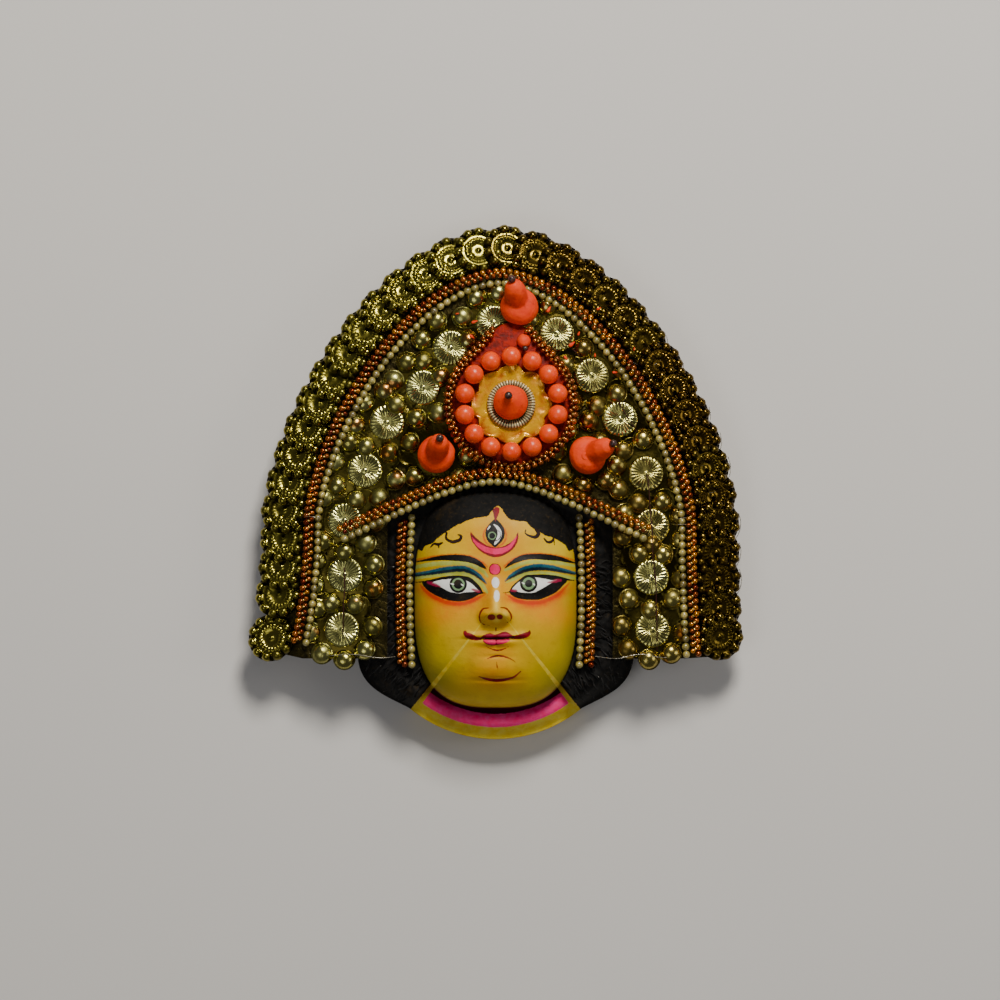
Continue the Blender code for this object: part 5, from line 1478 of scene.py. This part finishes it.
# Fine silver wire and dark thread hold the sequins and discs down. They are sewn over them and
# knotted at the back, so each piece is a short pulled run, not a free end.
WIRE_R, THREAD_R, LOW_WIRE_LIFT, HIGH_WIRE_LIFT, THREAD_LIFT = 0.16, 0.28, 3.6, 6.9, 4.4
WIRED_DISCS, DISC_WIRE_R, DISC_WIRE_LIFT = (-3, -4, -5, -7, -8, -9, -11, -12), 12.3, 1.7


def sewn(name, runs, radius, finish):
    """Thin round runs through plan points, joined as one piece."""
    made = []
    for run in runs:
        curve = bpy.data.curves.new(name, "CURVE")
        curve.dimensions = "3D"
        curve.bevel_depth, curve.bevel_resolution, curve.use_fill_caps = radius * MM, 2, True
        points = through(run, 4)
        spline = curve.splines.new("POLY")
        spline.points.add(len(points) - 1)
        for knot, p in zip(spline.points, to_table(points)):
            knot.co = (*p, 1)
        piece = bpy.data.objects.new(name, curve)
        bpy.context.collection.objects.link(piece)
        made.append(piece)
    select_only(*made)
    bpy.ops.object.convert(target="MESH")
    bpy.ops.object.join()
    piece = bpy.context.object
    piece.name = name
    piece.data.materials.clear()
    piece.data.materials.append(finish)
    bpy.ops.object.shade_smooth()
    return piece


def over_panel(points, lift):
    """A run that lies over the discs at this lift and goes down into the board at both ends."""
    run = [(x, y, board_z((x, y)) + lift) for x, y in points]
    for end in (0, -1):
        run[end] = (run[end][0], run[end][1], run[end][2] - lift + 0.4)
    return run


silver_wire, tree, shader = new_material("silver_wire", Metallic=1.0)
dull_spots = noise(tree, 900.0, 3.0)
dulled = ramp(tree, dull_spots, 0.4, 0.7)
feed(shader, Base_Color=mixed(tree, dulled, srgb(190, 184, 168), srgb(96, 88, 70)),
     Roughness=ramp(tree, dull_spots, 0.3, 0.7, 0.2, 0.45))
wires = [over_panel([(-93, -85.5), (-82, -86.3), (-70, -85.9), (-58, -87.6), (-50, -87.0)], LOW_WIRE_LIFT),
         over_panel([(93, -86.0), (84, -87.5), (72, -85.8), (61, -87.9), (50, -86.8)], LOW_WIRE_LIFT),
         over_panel([(-97.5, -16.6), (-93.5, -16.9), (-89, -17.3), (-86, -17.4)], HIGH_WIRE_LIFT),
         over_panel([(98.5, -17.3), (95, -17.6), (91, -18.2), (88, -18.4)], HIGH_WIRE_LIFT),
         over_panel([(98.5, -20.2), (95, -20.9), (91, -20.9), (88, -20.7)], HIGH_WIRE_LIFT)]
for k in WIRED_DISCS:
    turns = [math.radians(degrees + 62 + 6 * k) for degrees in range(-70, 71, 20)]
    wires.append([tuple(band_places[k] @ Vector((DISC_WIRE_R * math.cos(a), DISC_WIRE_R * math.sin(a),
                                                 DISC_WIRE_LIFT))) for a in turns])
wiring = sewn("silver_wires", wires, WIRE_R, silver_wire)
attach(wiring, "root")
dark_thread, tree, shader = new_material("dark_thread", Specular_IOR_Level=0.2)
place = node(tree, "TexCoord").outputs["Object"]
twist = node(tree, "TexWave", {"Vector": place, "Scale": 900.0, "Distortion": 1.0}).outputs["Fac"]
feed(shader, Base_Color=mixed(tree, twist, srgb(26, 10, 8), srgb(70, 30, 22)),
     Roughness=ramp(tree, twist, 0.0, 1.0, 0.6, 0.85))
threads = sewn("dark_threads", [
    over_panel([(72, 24), (66, 33), (61.5, 41), (57.5, 49)], THREAD_LIFT - 0.1),
    over_panel([(76, 6), (77, -4), (77.6, -14), (78.6, -26), (79.0, -38), (80.4, -50), (80.6, -62),
                (81, -73), (81, -84)], THREAD_LIFT),
    over_panel([(36, 70), (41, 64.5), (45, 59)], THREAD_LIFT - 0.1),
    over_panel([(-75.4, -38), (-75.2, -52), (-75.8, -66), (-76.2, -80)], THREAD_LIFT)],
    THREAD_R, dark_thread)
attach(threads, "root")

# Drips of the finials' orange-red paint have fallen on the foil beside them, and dried there as thin
# flat drops, each drawn out one way.
DRIP_LIFT, DRIP_NARROW = 4.4, 0.45
DRIPS = ((38, 68.7, 1.9, 40), (35, 62, 1.4, -50), (26.6, 86, 1.7, 60), (49.6, 63.2, 1.0, 90),
         (59.3, 54.7, 1.3, 0), (51.4, 86.5, 1.2, 30), (69.3, 66.5, 0.9, 80), (-10.2, 79.9, 1.6, 20),
         (-11.4, 72.6, 1.5, -40), (-18.7, 84, 0.9, 15), (41.5, 74.0, 1.1, 70))
drip = closed_disc("drip", 14, [(0.0, 0.55), (0.5, 0.5), (0.85, 0.35),
                                (lambda a: 1.0 + 0.18 * np.cos(3 * a), 0.05)], 0.12, 1)
drips = copies(drip, "paint_drips", [
    seat(x, y, DRIP_LIFT) @ about("Z", turn_to) @ Matrix.Diagonal((size, size * DRIP_NARROW, 1.0, 1.0))
    for x, y, size, turn_to in DRIPS])
drips.data.materials.append(orange_pulp)
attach(drips, "root")
